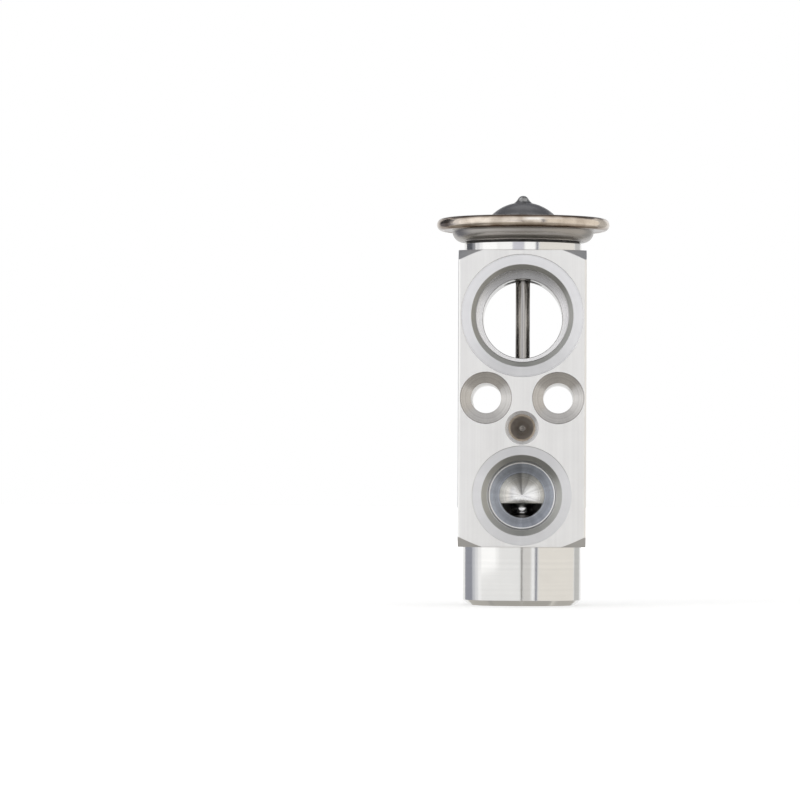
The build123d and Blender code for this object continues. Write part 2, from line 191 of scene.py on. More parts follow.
class ValveHeadSizes(bpy.types.PropertyGroup):
    """Sizes of the sensing head."""

    sheet: length("Sheet", 1.2, "Thickness of the pressed shells")
    foot_diameter: length("Bowl foot", 26.6, "Diameter of the bowl's flat foot")
    corner_radius: length("Bowl corner", 2.4, "Radius of the bowl's lower corner")
    collar_bore: length("Collar bore", 14.0, "Bore of the screwed collar")
    collar_gap: length("Thread gap", 0.08, "Gap between collar and neck")
    flange_diameter: length("Flange", 35.6, "Diameter of the clamped flanges")
    split_level: length("Split level", 84.3, "Height of the lower flange's top face")
    dome_diameter: length("Dome", 15.8, "Diameter of the dome at its foot")
    dome_rise: length("Dome rise", 3.8, "Height of the dome above the flange")
    dome_foot_radius: length("Dome foot", 0.35, "Radius where the dome meets the flange")
    plug_diameter: length("Plug cap", 2.7, "Diameter of the charge plug's cap")
    plug_shank: length("Plug shank", 1.9, "Diameter of the charge plug's shank")
    plug_foot: length("Plug foot", 0.7, "Width of the weld round the plug's cap")
    bead_ripple: length("Bead ripple", 0.02, "Depth of the ripples in the rim weld")
    bead_ripples: IntProperty(name="Ripples", description="Ripples round the rim weld", default=46)


class ValveInnerSizes(bpy.types.PropertyGroup):
    """Sizes of the spring and the adjusting screw."""

    wire_diameter: length("Wire", 1.5, "Diameter of the spring's wire")
    spring_diameter: length("Spring", 10.2, "Mean diameter of the spring")
    spring_turns: IntProperty(name="Turns", description="Working turns of the spring", default=4)
    valve_travel: length("Travel", 0.8, "How far the ball leaves its seat")
    pin_diameter: length("Pin", 2.2, "Diameter of the push pin")
    tip_diameter: length("Pin tip", 1.55, "Diameter of the push pin's tip")
    pin_step: length("Pin step", 31.9, "Height at which the pin steps down")
    screw_thread: length("Screw thread", 19.84, "Diameter of the adjusting screw's thread")
    screw_collar: length("Screw collar", 17.84, "Diameter of the adjusting screw above its thread")
    collar_foot: length("Collar foot", 6.7, "Height at which the screw steps in")
    hex_flats: length("Hex socket", 8.0, "Width across the flats of the hex socket")
    hex_depth: length("Hex depth", 4.6, "Depth of the hex socket")
    pocket_depth: length("Spring pocket", 4.6, "Depth of the pocket that holds the spring")
    pocket_diameter: length("Pocket", 12.6, "Diameter of the pocket that holds the spring")


class ValveColours(bpy.types.PropertyGroup):
    """Linear colours of the metals and seals."""

    block: colour("Block", (0.91, 0.90, 0.885), "Extruded aluminium of the block")
    turned: colour("Turned", (0.80, 0.795, 0.78), "Bright turned aluminium")
    ring: colour("Ring", (0.89, 0.89, 0.895), "Faced rings round the ports")
    # Painted shade: the funnels' colour is darkened to stand in for the dark surroundings that they mirror
    funnel: colour("Funnel", (0.385, 0.385, 0.37), "Sealing funnels of the ports")
    bore: colour("Bore", (0.93, 0.905, 0.875), "Bores of the ports")
    # Painted shade: the inlet's deep flat floor is dark blue-grey to stand in for the shade and dark
    # reflection in the bore
    annulus: colour("Annulus", (0.395, 0.42, 0.46), "Flat floor of the inlet")
    seat: colour("Seat", (0.57, 0.555, 0.54), "Bolt seats")
    tapped: colour("Tapped", (0.97, 0.89, 0.82), "Inside of the tapped hole")
    # Painted shade: the spring chamber's walls are darker to stand in for the shade inside the chamber
    chamber: colour("Chamber", (0.6, 0.6, 0.585), "Oily walls of the spring chamber")
    head: colour("Head", (0.37, 0.35, 0.33), "Pressed steel of the head")
    cover: colour("Cover", (0.275, 0.275, 0.28), "Dark glossy steel of the cover")
    weld: colour("Weld", (0.80, 0.715, 0.625), "Rim weld between the heat marks")
    # Heat tint, darkened further as painted shade where it lines the bead's creases
    heat: colour("Heat tint", (0.17, 0.115, 0.075), "Straw and brown heat marks")
    steel: colour("Steel", (0.50, 0.48, 0.46), "Rod and pin")
    polished: colour("Polished", (0.80, 0.80, 0.80), "Ball and other polished steel")
    brass: colour("Brass", (0.62, 0.47, 0.22), "Turned brass")
    rubber: colour("Rubber", (0.075, 0.073, 0.07), "Seals")


class ValveStudio(bpy.types.PropertyGroup):
    """Camera, lamps and backdrop."""

    camera_x: length("Camera X", 5.0, "Camera's place across the valve")
    camera_distance: length("Distance", 1050.0, "Camera's distance in front of the spindle")
    camera_height: length("Height", 25.4, "Camera's height above the floor")
    focal_pixels: FloatProperty(name="Focal length", description="Focal length in pixels", default=4725)
    level_column: FloatProperty(name="Level column", description="Image column straight ahead", default=545)
    level_row: FloatProperty(name="Level row", description="Image row straight ahead", default=490)
    roll: angle("Roll", 0.25, "Tilt of the camera")
    key_power: power("Key", 5.0, "Power of the key lamp")
    fill_power: power("Fill", 2.5, "Power of the fill lamp")
    top_power: power("Top", 4.0, "Power of the top lamp")
    world_light: share("World light", 0.55, "Light that the surroundings give to dull surfaces")
    world_mirror: share("World mirror", 0.95, "Brightness of the surroundings in mirror-like metal")
    floor_colour: colour("Floor", (0.82, 0.82, 0.82), "Pale floor")
    floor_glow: share("Floor glow", 0.4, "White that the camera sees added to the floor")


GROUPS = {
    "valve_block": ValveBlockSizes,
    "valve_ports": ValvePortSizes,
    "valve_head": ValveHeadSizes,
    "valve_inner": ValveInnerSizes,
    "valve_colours": ValveColours,
    "valve_studio": ValveStudio,
}


def arc(centre, radius, start, end, steps=10):
    """Points on an arc in an outline, with angles in degrees from the outward direction."""
    points = []
    for step in range(steps + 1):
        turn = math.radians(start + (end - start) * step / steps)
        points.append((centre[0] + radius * math.cos(turn), centre[1] + radius * math.sin(turn)))
    return points


def lathe(bm, outline, finishes=0, steps=ROUND_STEPS, closed=False):
    """Spins an outline of (radius, height) points about Z; finishes gives a material index to each edge."""
    place = bm.verts.layers.int.new("outline_place")
    verts = [bm.verts.new((radius, 0, height)) for radius, height in outline]
    for index, vert in enumerate(verts):
        vert[place] = index
    pairs = zip(verts, verts[1:] + ([verts[0]] if closed else []))
    edges = [bm.edges.new(pair) for pair in pairs]
    bmesh.ops.spin(
        bm, geom=verts + edges, cent=(0, 0, 0), axis=(0, 0, 1), angle=math.tau, steps=steps, use_merge=True
    )
    for face in bm.faces:
        first = min(vert[place] for vert in face.verts)
        face.material_index = finishes if isinstance(finishes, int) else finishes[first]
    bm.verts.layers.int.remove(place)
    bmesh.ops.remove_doubles(bm, verts=bm.verts, dist=LATHE_MERGE)
    bmesh.ops.recalc_face_normals(bm, faces=bm.faces)


def smooth_faces(mesh):
    """Smooth shading apart from the sharp edges."""
    mesh.polygons.foreach_set("use_smooth", [True] * len(mesh.polygons))
    mesh.set_sharp_from_angle(angle=SMOOTH_ANGLE)


def mesh_object(name, bm, materials, smooth=True):
    """Makes an object of a finished mesh."""
    mesh = bpy.data.meshes.new(name)
    bm.to_mesh(mesh)
    bm.free()
    for material in materials:
        mesh.materials.append(material)
    if smooth:
        smooth_faces(mesh)
    piece = bpy.data.objects.new(name, mesh)
    bpy.context.scene.collection.objects.link(piece)
    return piece


def turned_piece(name, outline, material, steps, closed=True):
    """Piece turned about the spindle axis."""
    bm = bmesh.new()
    lathe(bm, outline, 0, steps, closed)
    return mesh_object(name, bm, [material])


def fit(piece, body, slot, *nodes):
    """Lets a piece ride on its body and stand for its nodes; the slot is not used."""
    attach(piece, body)
    if nodes:
        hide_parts(*nodes)


def combine(base, cutters, operation):
    """Adds or subtracts closed meshes one after another, keeping their material indices."""
    for tool in cutters:
        step = base.modifiers.new("shape", "BOOLEAN")
        step.operation = operation
        step.solver = "EXACT"
        step.material_mode = "INDEX"
        step.object = tool
        graph = bpy.context.evaluated_depsgraph_get()
        shaped = bpy.data.meshes.new_from_object(base.evaluated_get(graph))
        base.modifiers.clear()
        old, base.data = base.data, shaped
        bpy.data.meshes.remove(old)
        bpy.data.meshes.remove(tool.data)
        bm = bmesh.new()
        bm.from_mesh(shaped)
        bmesh.ops.remove_doubles(bm, verts=bm.verts, dist=CUT_MERGE)
        bmesh.ops.recalc_face_normals(bm, faces=bm.faces)
        bm.to_mesh(shaped)
        bm.free()
    return base


def cutter(outline, finishes, place=Matrix.Identity(4), steps=ROUND_STEPS):
    """Closed turned mesh that cuts a hole, with a finish for each part of its outline."""
    bm = bmesh.new()
    lathe(bm, outline, finishes, steps)
    bmesh.ops.transform(bm, matrix=place, verts=bm.verts)
    bmesh.ops.recalc_face_normals(bm, faces=bm.faces)
    return mesh_object("cutter", bm, [], smooth=False)


def from_front(x, z):
    """Place of a cutter that enters the front face, with its height as depth."""
    return Matrix.Translation((x, BODY_LOW.y, z)) @ Matrix.Rotation(math.radians(-90), 4, "X")


def from_rear(x, z):
    """Place of a cutter that enters the rear face, with its height as depth."""
    return Matrix.Translation((x, BODY_HIGH.y, z)) @ Matrix.Rotation(math.radians(90), 4, "X")


def mount_centre(name):
    """Centre of a mount as x and z, in metres."""
    place = MOUNTS[name]["pos_m"]
    return place[0], place[2]


def mount_radius(name):
    """Radius of a round mount, in metres."""
    return MOUNTS[name]["dims"]["r_mm"] * MM


def bolt_centres():
    """Centres of the left and the right bolt hole as x and z, in metres."""
    x, z = mount_centre("fixing_bolts")
    across = MOUNTS["fixing_bolts"]["dims"]["spacing_x_mm"] * MM / 2
    return (x - across, z), (x + across, z)


def wire(tree, made, **values):
    """Gives a node its inputs, by name with underscores for spaces or by place as in i0, and its settings."""
    for name, value in values.items():
        label = name.replace("_", " ")
        if name.startswith("i") and name[1:].isdigit():
            socket = made.inputs[int(name[1:])]
        elif label in made.inputs:
            socket = made.inputs[label]
        else:
            setattr(made, name, value)
            continue
        if isinstance(value, bpy.types.NodeSocket):
            tree.links.new(value, socket)
        else:
            socket.default_value = value
    return made


def node(tree, kind, **values):
    """New shader node with its inputs and settings."""
    return wire(tree, tree.nodes.new("ShaderNode" + kind), **values)


def maths(tree, operation, *values, kind="Math", **settings):
    """Result of a Math node: numbers and sockets go in by place."""
    inputs = {f"i{place}": value for place, value in enumerate(values)}
    return node(tree, kind, operation=operation, **inputs, **settings).outputs[0]


def vector_maths(tree, operation, *values, **settings):
    """Result of a Vector Math node that puts out a vector."""
    return maths(tree, operation, *values, kind="VectorMath", **settings)


def distance(tree, vector):
    """Length of a vector."""
    return node(tree, "VectorMath", operation="LENGTH", i0=vector).outputs["Value"]


def remap(tree, value, before, after=(0.0, 1.0), **settings):
    """Value carried from one range over to another."""
    made = node(
        tree, "MapRange", Value=value, From_Min=before[0], From_Max=before[1], To_Min=after[0],
        To_Max=after[1], **settings,
    )
    return made.outputs[0]


def noise(tree, **values):
    """Noise from 0 to 1."""
    return node(tree, "TexNoise", **values).outputs[0]


def object_place(tree):
    """Place on the piece, in metres."""
    return node(tree, "TexCoord").outputs["Object"]


def bumped(tree, height, strength, relief):
    """Normal of a surface whose relief is given in millimetres."""
    return node(tree, "Bump", Strength=strength, Distance=relief * MM, Height=height).outputs[0]


def effect_group(name, vectors, numbers, results):
    """Node group with named inputs and results; returns it with its inputs and its output node."""
    group = bpy.data.node_groups.new(name, "ShaderNodeTree")
    for label in vectors:
        group.interface.new_socket(name=label, in_out="INPUT", socket_type="NodeSocketVector")
    for label, value in numbers.items():
        socket = group.interface.new_socket(name=label, in_out="INPUT", socket_type="NodeSocketFloat")
        socket.default_value = value
    for label in results:
        group.interface.new_socket(name=label, in_out="OUTPUT", socket_type="NodeSocketFloat")
    return group, group.nodes.new("NodeGroupInput").outputs, group.nodes.new("NodeGroupOutput")


def effect(tree, maker, **inputs):
    """Outputs of an effect placed in a material; its group is built the first time that it is needed."""
    placed = tree.nodes.new("ShaderNodeGroup")
    placed.node_tree = bpy.data.node_groups.get(maker.__name__) or maker()
    return wire(tree, placed, **inputs).outputs


def turning_marks():
    """Rings about an axis, as a turning tool leaves them: a height and a tone from 0 to 1."""
    broad_rings, fine_share = 0.31, 0.5
    group, given, made = effect_group(
        "turning_marks", ("Centre", "Across"), {"Rings per mm": 3.0}, ("Height", "Tone")
    )
    offset = vector_maths(group, "SUBTRACT", object_place(group), given["Centre"])
    radius = distance(group, vector_maths(group, "MULTIPLY", offset, given["Across"]))
    passed = maths(group, "MULTIPLY", maths(group, "MULTIPLY", radius, 1 / MM), given["Rings per mm"])
    fine = noise(group, noise_dimensions="1D", W=passed, Scale=1.0, Detail=2.0)
    slow = maths(group, "MULTIPLY", passed, broad_rings)
    broad = noise(group, noise_dimensions="1D", W=slow, Scale=1.0, Detail=0.0)
    tone = maths(group, "MULTIPLY_ADD", broad, 1 - fine_share, maths(group, "MULTIPLY", fine, fine_share))
    wire(group, made, Height=fine, Tone=tone)
    return group


def turned_sheen():
    """Painted shade and painted highlights of a turned face: darker above and below its centre, with painted
    highlight rays laid across it.
    """
    group, given, made = effect_group(
        "turned_sheen", ("Centre",), {"Above": 0.5, "Below": 0.2, "Start": 0.25, "Rays": 0.1}, ("Tone",)
    )
    offset = vector_maths(group, "SUBTRACT", object_place(group), given["Centre"])
    outward = vector_maths(group, "NORMALIZE", vector_maths(group, "MULTIPLY", offset, ABOUT_Y))
    apart = node(group, "SeparateXYZ", Vector=outward).outputs
    tone = 1.0
    for side, label in ((1.0, "Above"), (-1.0, "Below")):
        upward = maths(group, "MULTIPLY", apart["Z"], side)
        darker = remap(
            group, upward, (given["Start"], 1.0), (0.0, given[label]), interpolation_type="SMOOTHSTEP"
        )
        tone = maths(group, "SUBTRACT", tone, darker)
    # Painted highlight rays fanned round the centre
    turn = maths(group, "ARCTAN2", apart["X"], apart["Z"])
    rays = noise(group, noise_dimensions="1D", W=turn, Scale=3.0, Detail=2.5)
    about_none = maths(group, "SUBTRACT", rays, 0.5)
    wire(group, made, Tone=maths(group, "MULTIPLY_ADD", about_none, given["Rays"], tone))
    return group


def drawn_streaks():
    """Fine lines along one direction, as extruding or drawing leaves them."""
    fine_share = 0.55
    group, given, made = effect_group(
        "drawn_streaks", ("Stretch",), {"Lines per mm": 4.0}, ("Height", "Tone")
    )
    scaled = vector_maths(group, "SCALE", object_place(group), Scale=1 / MM)
    pulled = vector_maths(group, "MULTIPLY", scaled, given["Stretch"])
    fine = noise(group, Vector=pulled, Scale=given["Lines per mm"], Detail=3.0, Roughness=0.65)
    wide = noise(group, Vector=pulled, Scale=0.45, Detail=2.0)
    tone = maths(group, "MULTIPLY_ADD", wide, 1 - fine_share, maths(group, "MULTIPLY", fine, fine_share))
    wire(group, made, Height=fine, Tone=tone)
    return group


def grime():
    """Small specks and soft clouds, for stains and heat marks: two masks from 0 to 1."""
    group, given, made = effect_group("grime", (), {"Size mm": 2.0}, ("Specks", "Clouds"))
    scaled = vector_maths(group, "SCALE", object_place(group), Scale=1 / MM)
    clouds = noise(group, Vector=scaled, Scale=maths(group, "DIVIDE", 1.0, given["Size mm"]), Detail=4.0)
    specks = noise(group, Vector=scaled, Scale=3.2, Detail=2.0)
    wire(group, made, Clouds=remap(group, clouds, (0.38, 0.66)), Specks=remap(group, specks, (0.62, 0.74)))
    return group


def blank_material(name, kind="BsdfPrincipled", **values):
    """Material of one shader; returns it with its node tree and the shader."""
    material = bpy.data.materials.new(name)
    material.use_nodes = True
    tree = material.node_tree
    tree.nodes.clear()
    shader = node(tree, kind, **values)
    node(tree, "OutputMaterial", Surface=shader.outputs[0])
    return material, tree, shader


def blend_colours(tree, low, high, factor):
    """Colour that runs from low to high with a factor."""
    mix = tree.nodes.new("ShaderNodeMix")
    mix.data_type = "RGBA"
    for socket, value in ((mix.inputs[6], low), (mix.inputs[7], high)):
        if isinstance(value, bpy.types.NodeSocket):
            tree.links.new(value, socket)
        else:
            socket.default_value = (*value, 1)
    tree.links.new(factor, mix.inputs[0])
    return mix.outputs[2]


def tinted(value, amount):
    """Colour made lighter or darker by a factor."""
    return tuple(min(1.0, channel * amount) for channel in value)


def rings(centre, across, per_mm):
    """Marks of a tool that turned about an axis through a centre."""
    return lambda tree: effect(tree, turning_marks, Centre=centre, Across=across, Rings_per_mm=per_mm)


def about_spindle(per_mm):
    """Marks of a lathe tool that moved along the spindle axis: level rings."""
    return rings((0, 0, 0), LEVELS, per_mm)


def faced(per_mm):
    """Marks of a lathe tool that moved across the spindle axis: rings round it."""
    return rings((0, 0, 0), ABOUT_Z, per_mm)


def streaks(stretch, per_mm):
    """Marks drawn out along the direction in which the stretch is small."""
    return lambda tree: effect(tree, drawn_streaks, Stretch=stretch, Lines_per_mm=per_mm)


def patches(size):
    """Cloudy marks without a direction."""
    return lambda tree: effect(tree, grime, Size_mm=size)


def marked_metal(
    name, tone, marks, roughness=0.3, spread=0.08, contrast=0.1, bump=0.25, relief=0.01, sheen=None
):
    """Bare metal whose tone, roughness and relief follow the marks of its tool; a painted sheen adds painted
    shade above and below a centre and painted highlight rays to its tone.
    """
    material, tree, shader = blank_material(name, Metallic=1.0)
    height, shade = marks(tree)
    base = blend_colours(tree, tinted(tone, 1 - contrast), tinted(tone, 1 + contrast), shade)
    stains = remap(tree, effect(tree, grime, Size_mm=5.0)["Clouds"], (0.0, 1.0), (0.985, 1.01))
    final = vector_maths(tree, "SCALE", base, Scale=stains)
    # Painted shade above and below the centre and painted highlight rays scale the colour
    if sheen:
        final = vector_maths(tree, "SCALE", final, Scale=effect(tree, turned_sheen, **sheen)["Tone"])
    rough = remap(tree, shade, (0.2, 0.8), (roughness - spread / 2, roughness + spread / 2))
    wire(tree, shader, Base_Color=final, Roughness=rough, Normal=bumped(tree, height, bump, relief))
    return material


def weld_material(colours):
    """Weld bead with straw and brown heat marks along its lower and upper edges, deepened there as painted
    shade in the creases, with a patch of painted shade on its left and a painted highlight where the weld
    closes.
    """
    material, tree, shader = blank_material("rim_weld", Metallic=1.0)
    apart = node(tree, "SeparateXYZ", Vector=object_place(tree)).outputs
    low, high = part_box("rim_weld")
    across = remap(tree, apart["Z"], (low.z, high.z), (-1.0, 1.0))
    # Heat colour towards the upper and lower edges: heat tint, deepened as painted shade in the creases
    near_edge = remap(tree, maths(tree, "ABSOLUTE", across), (0.35, 0.9))
    clouds = effect(tree, grime, Size_mm=3.5)["Clouds"]
    mottled = maths(tree, "MULTIPLY_ADD", clouds, 0.35, near_edge, use_clamp=True)
    edged = blend_colours(tree, colours.weld, colours.heat, mottled)
    front = maths(tree, "LESS_THAN", apart["Y"], 0.0)

    def mark(along, half_length, rise, half_height):
        """Soft patch on the front of the bead."""
        patch = front
        for value, middle, reach in ((apart["X"], along, half_length), (across, rise, half_height)):
            away = maths(tree, "ABSOLUTE", maths(tree, "SUBTRACT", value, middle))
            patch = maths(tree, "MULTIPLY", patch, remap(tree, away, (0.35 * reach, reach), (0.9, 0.0)))
        return patch

    # Painted shade patch on the bead's left side
    left_shaded = blend_colours(tree, edged, colours.heat, mark(*LEFT_SHADE_MARK))
    # Painted highlight where the weld closes
    closed = blend_colours(tree, left_shaded, CLOSING_GLINT_TONE, mark(*CLOSING_GLINT_MARK))
    rough = remap(tree, clouds, (0.0, 1.0), (0.1, 0.18))
    wire(tree, shader, Base_Color=closed, Roughness=rough, Normal=bumped(tree, clouds, 0.2, 0.02))
    return material


def rubber_material(colours):
    """Black moulded rubber with a dusty bloom."""
    material, tree, shader = blank_material("seal_rubber", Roughness=0.55)
    specks, clouds = effect(tree, grime, Size_mm=1.2)
    dusty = blend_colours(tree, colours.rubber, tinted(colours.rubber, 1.6), clouds)
    wire(tree, shader, Base_Color=dusty, Normal=bumped(tree, specks, 0.15, 0.02))
    return material


FINISHES = (
    "block_skin", "block_turned", "block_cone", "suction_ring", "suction_funnel", "suction_bore",
    "suction_step", "rear_ring", "rear_funnel", "inlet_ring", "inlet_funnel", "inlet_annulus",
    "inlet_drilled", "outlet_ring", "outlet_funnel", "outlet_bore", "seat_left", "seat_right", "tapped_sink",
    "tapped_hole", "tapped_floor", "chamber_wall", "bolt_bore",
)
INDEX = {name: index for index, name in enumerate(FINISHES)}


def block_materials(colours):
    """One material for each finish of the block, in the order of FINISHES; several of them carry painted
    shade and painted highlights.
    """
    suction, inlet = mount_centre("suction_port_front"), mount_centre("liquid_inlet_port")
    outlet, tapped = mount_centre("evaporator_outlet_port"), mount_centre("clamp_plate_thread")

    def about(centre, per_mm=3.0):
        return rings((centre[0], 0, centre[1]), ABOUT_Y, per_mm)

    # Painted sheen: painted shade above and below a centre and painted highlight rays
    def sheen(centre, above=0.0, below=0.0, start=0.25, rays=0.1):
        place = (centre[0], 0, centre[1])
        return {"Centre": place, "Above": above, "Below": below, "Start": start, "Rays": rays}

    # Painted shade in the tops of the suction bores and round the rear and outlet mouths
    bore_painted_sheen = sheen(suction, above=0.55, start=0.15)
    rear_painted_sheen = sheen(suction, above=0.4, below=0.15, start=0.0, rays=0.3)
    outlet_painted_sheen = sheen(outlet, above=0.42, below=0.1, start=0.0, rays=0.3)
    finishes = {
        "block_skin": dict(
            tone=colours.block, marks=streaks((1, 1, 0.008), 2.2), roughness=0.34, contrast=0.11, relief=0.008
        ),
        "block_turned": dict(
            tone=colours.turned, marks=about_spindle(5.0), roughness=0.12, spread=0.02, contrast=0.04,
            bump=0.2, relief=0.003,
        ),
        "block_cone": dict(tone=tinted(colours.ring, 0.76), marks=faced(2.5), bump=0.3),
        "suction_ring": dict(
            tone=colours.ring, marks=about(suction), spread=0.1, contrast=0.08,
            sheen=sheen(suction, above=0.05, below=0.2),
        ),
        # Front suction funnel in the darkened funnel colour: painted shade
        "suction_funnel": dict(tone=colours.funnel, marks=about(suction, 4.0), spread=0.06, contrast=0.08),
        "suction_bore": dict(
            tone=colours.bore, marks=streaks((0.1, 1.6, 0.1), 1.8), roughness=0.24, contrast=0.2,
            sheen=bore_painted_sheen,
        ),
        "suction_step": dict(
            tone=tinted(colours.bore, 1.08), marks=about(suction, 2.2), roughness=0.26, contrast=0.2,
            bump=0.5, sheen=bore_painted_sheen,
        ),
        "rear_ring": dict(tone=colours.ring, marks=about(suction), roughness=0.26, sheen=rear_painted_sheen),
        # Rear funnel at half the bore's tone: painted shade
        "rear_funnel": dict(
            tone=tinted(colours.bore, 0.5), marks=about(suction, 4.0), roughness=0.26, spread=0.06,
            sheen=rear_painted_sheen,
        ),
        "inlet_ring": dict(
            tone=tinted(colours.ring, 0.93), marks=about(inlet), spread=0.1, contrast=0.08,
            sheen=sheen(inlet, above=0.17, below=0.12),
        ),
        "inlet_funnel": dict(
            tone=tinted(colours.funnel, 1.32), marks=about(inlet, 4.0), spread=0.06, contrast=0.08,
            sheen=sheen(inlet, above=0.3, below=0.3, start=0.2),
        ),
        # Inlet floor in its darkened colour: painted shade
        "inlet_annulus": dict(
            tone=colours.annulus, marks=about(inlet), roughness=0.25, spread=0.1, contrast=0.3,
            sheen=sheen(inlet, above=0.5, below=0.25, start=0.2, rays=0.5),
        ),
        "inlet_drilled": dict(
            tone=tinted(colours.turned, 1.25), marks=about(inlet, 3.5), roughness=0.25, contrast=0.16,
            bump=0.6, sheen=sheen(inlet, above=0.55, start=0.6, rays=0.9),
        ),
        "outlet_ring": dict(tone=colours.ring, marks=about(outlet), roughness=0.24, sheen=outlet_painted_sheen),
        # Outlet funnel at half the bore's tone: painted shade
        "outlet_funnel": dict(
            tone=tinted(colours.bore, 0.5), marks=about(outlet, 4.0), roughness=0.24, spread=0.06,
            sheen=outlet_painted_sheen,
        ),
        "outlet_bore": dict(
            tone=tinted(colours.bore, 0.82), marks=about(outlet, 2.5), roughness=0.14, spread=0.06,
            contrast=0.12,
        ),
        "tapped_sink": dict(
            tone=tinted(colours.ring, 0.82), marks=about(tapped, 2.5), roughness=0.26, contrast=0.15,
            sheen=sheen(tapped, above=0.08),
        ),
        "tapped_hole": dict(tone=tinted(colours.tapped, 0.92), marks=about(tapped, 2.0), contrast=0.2),
        "tapped_floor": dict(
            tone=colours.tapped, marks=about(tapped, 2.5), roughness=0.35, contrast=0.3, bump=0.6
        ),
        # Chamber walls in their darkened colour: painted shade
        "chamber_wall": dict(tone=colours.chamber, marks=about_spindle(2.0), contrast=0.2),
        "bolt_bore": dict(tone=colours.bore, marks=streaks((1, 0.1, 1), 2.0)),
    }
    # Bolt seats, with painted shade below their centres
    for name, centre in zip(("seat_left", "seat_right"), bolt_centres()):
        finishes[name] = dict(
            tone=colours.seat, marks=about(centre, 1.6), roughness=0.26, contrast=0.3, bump=0.5,
            sheen=sheen(centre, below=0.22, start=0.1),
        )
    return [marked_metal(name, **finishes[name]) for name in FINISHES]


def block_blank(sizes):
    """Extruded bar with rounded upright edges, between the underside and the top of the block."""
    size = Vector((BODY_HIGH.x - BODY_LOW.x, BODY_DEPTH, sizes.block_top - sizes.block_bottom))
    centre = Vector((0, (BODY_LOW.y + BODY_HIGH.y) / 2, (sizes.block_top + sizes.block_bottom) / 2))
    bm = bmesh.new()
    bmesh.ops.create_cube(bm, size=1.0)
    bmesh.ops.scale(bm, vec=size, verts=bm.verts)
    bmesh.ops.translate(bm, vec=centre, verts=bm.verts)

    def upright(edge):
        return abs(edge.verts[0].co.z - edge.verts[1].co.z) > size.z / 2

    corners = [edge for edge in bm.edges if upright(edge)]
    bmesh.ops.bevel(
        bm, geom=corners, offset=sizes.edge_radius, segments=5, profile=0.5, affect="EDGES", material=-1
    )
    level = [edge for edge in bm.edges if not upright(edge) and edge.calc_face_angle(0) > math.radians(60)]
    bmesh.ops.bevel(
        bm, geom=level, offset=sizes.edge_break, segments=1, profile=0.5, affect="EDGES", material=-1
    )
    bmesh.ops.recalc_face_normals(bm, faces=bm.faces)
    return mesh_object("valve_block", bm, [], smooth=False)


def turned_ends(sizes):
    """The spigot and the neck, to be joined to the bar."""
    spigot, bevel = sizes.spigot_diameter / 2, sizes.spigot_bevel
    neck, edge = sizes.neck_diameter / 2, sizes.edge_break
    spigot_top, neck_foot = sizes.block_bottom + JOINED, sizes.block_top - JOINED
    below = [
        (0, 0), (spigot - bevel - edge, 0), (spigot - bevel, edge * 0.4),
        (spigot - edge * 0.3, bevel - edge * 0.2), (spigot, bevel + edge), (spigot, spigot_top),
        (0, spigot_top),
    ]
    above = [
        (0, neck_foot), (neck, neck_foot), (neck, BODY_HIGH.z - edge), (neck - edge, BODY_HIGH.z),
        (0, BODY_HIGH.z),
    ]
    return [cutter(outline, INDEX["block_turned"], steps=256) for outline in (below, above)]


def corner_cones(sizes):
    """Rings that slope off the corners which stand furthest from the spindle."""
    reach = math.hypot(BODY_LOW.x, BODY_LOW.y) + OVER
    drop = (reach - sizes.cone_radius) * math.tan(sizes.cone_angle)
    made = []
    for level, side in ((sizes.block_top, 1), (sizes.block_bottom, -1)):
        outside = level + side * OVER
        outline = [
            (sizes.cone_radius, level), (reach, level - side * drop), (reach, outside),
            (sizes.cone_radius - OVER, outside), (sizes.cone_radius, level),
        ]
        made.append(cutter(outline, INDEX["block_cone"], steps=320))
    return made


def mouth(sizes, ports, spot, land, funnel, bore, depth, ring, cone):
    """Outline and finishes of a port's mouth, from outside the face down to the end of its bore."""
    edge, faced_depth = sizes.edge_break, ports.spot_depth
    lip, funnel_end = 1.3 * edge, faced_depth + (funnel - bore) / 2
    outline = [
        (0, -OVER), (spot / 2 + edge, -OVER), (spot / 2 + edge, 0), (spot / 2, edge), (land / 2, faced_depth),
        (funnel / 2 + edge, faced_depth), (funnel / 2, faced_depth + edge),
        (bore / 2 + lip, funnel_end - lip), (bore / 2, funnel_end + 1.4 * lip), (bore / 2, depth),
    ]
    return outline, [INDEX[ring]] * 6 + [INDEX[cone], INDEX[ring], INDEX[cone]]


def suction_cutters(sizes, ports):
    """Both suction mouths and, a little lower, the passage between them."""
    x, z = mount_centre("suction_port_front")
    spot, depth, bore = ports.suction_spot, ports.suction_depth, INDEX["suction_bore"]
    front, front_finish = mouth(
        sizes, ports, spot, spot, ports.suction_funnel, 2 * mount_radius("suction_port_front"), depth,
        "suction_ring", "suction_funnel",
    )
    rear, rear_finish = mouth(
        sizes, ports, spot, ports.suction_rear_land, ports.suction_rear_funnel,
        2 * mount_radius("suction_port_rear"), depth, "rear_ring", "rear_funnel",
    )
    passage, lead, end = ports.suction_passage / 2, sizes.edge_break, BODY_DEPTH - depth
    middle = [
        (0, depth - OVER), (passage + lead, depth - OVER), (passage + lead, depth), (passage, depth + lead),
        (passage, end - lead), (passage + lead, end), (passage + lead, end + OVER), (0, end + OVER),
    ]
    floor = [(0, depth)]
    front_finish[-1:] = [bore, INDEX["suction_step"]]
    rear_finish[-1:] = [bore, INDEX["rear_ring"]]
    return [
        cutter(front + floor, front_finish, from_front(x, z), steps=224),
        cutter(rear + floor, rear_finish, from_rear(x, z), steps=224),
        cutter(middle, bore, from_front(x, z - ports.suction_drop), steps=224),
    ]


def drill_tip(radius, depth, point):
    """End of a drilled hole: where the cone that its drill's point leaves closes."""
    return (0, depth + radius / math.tan(point / 2))


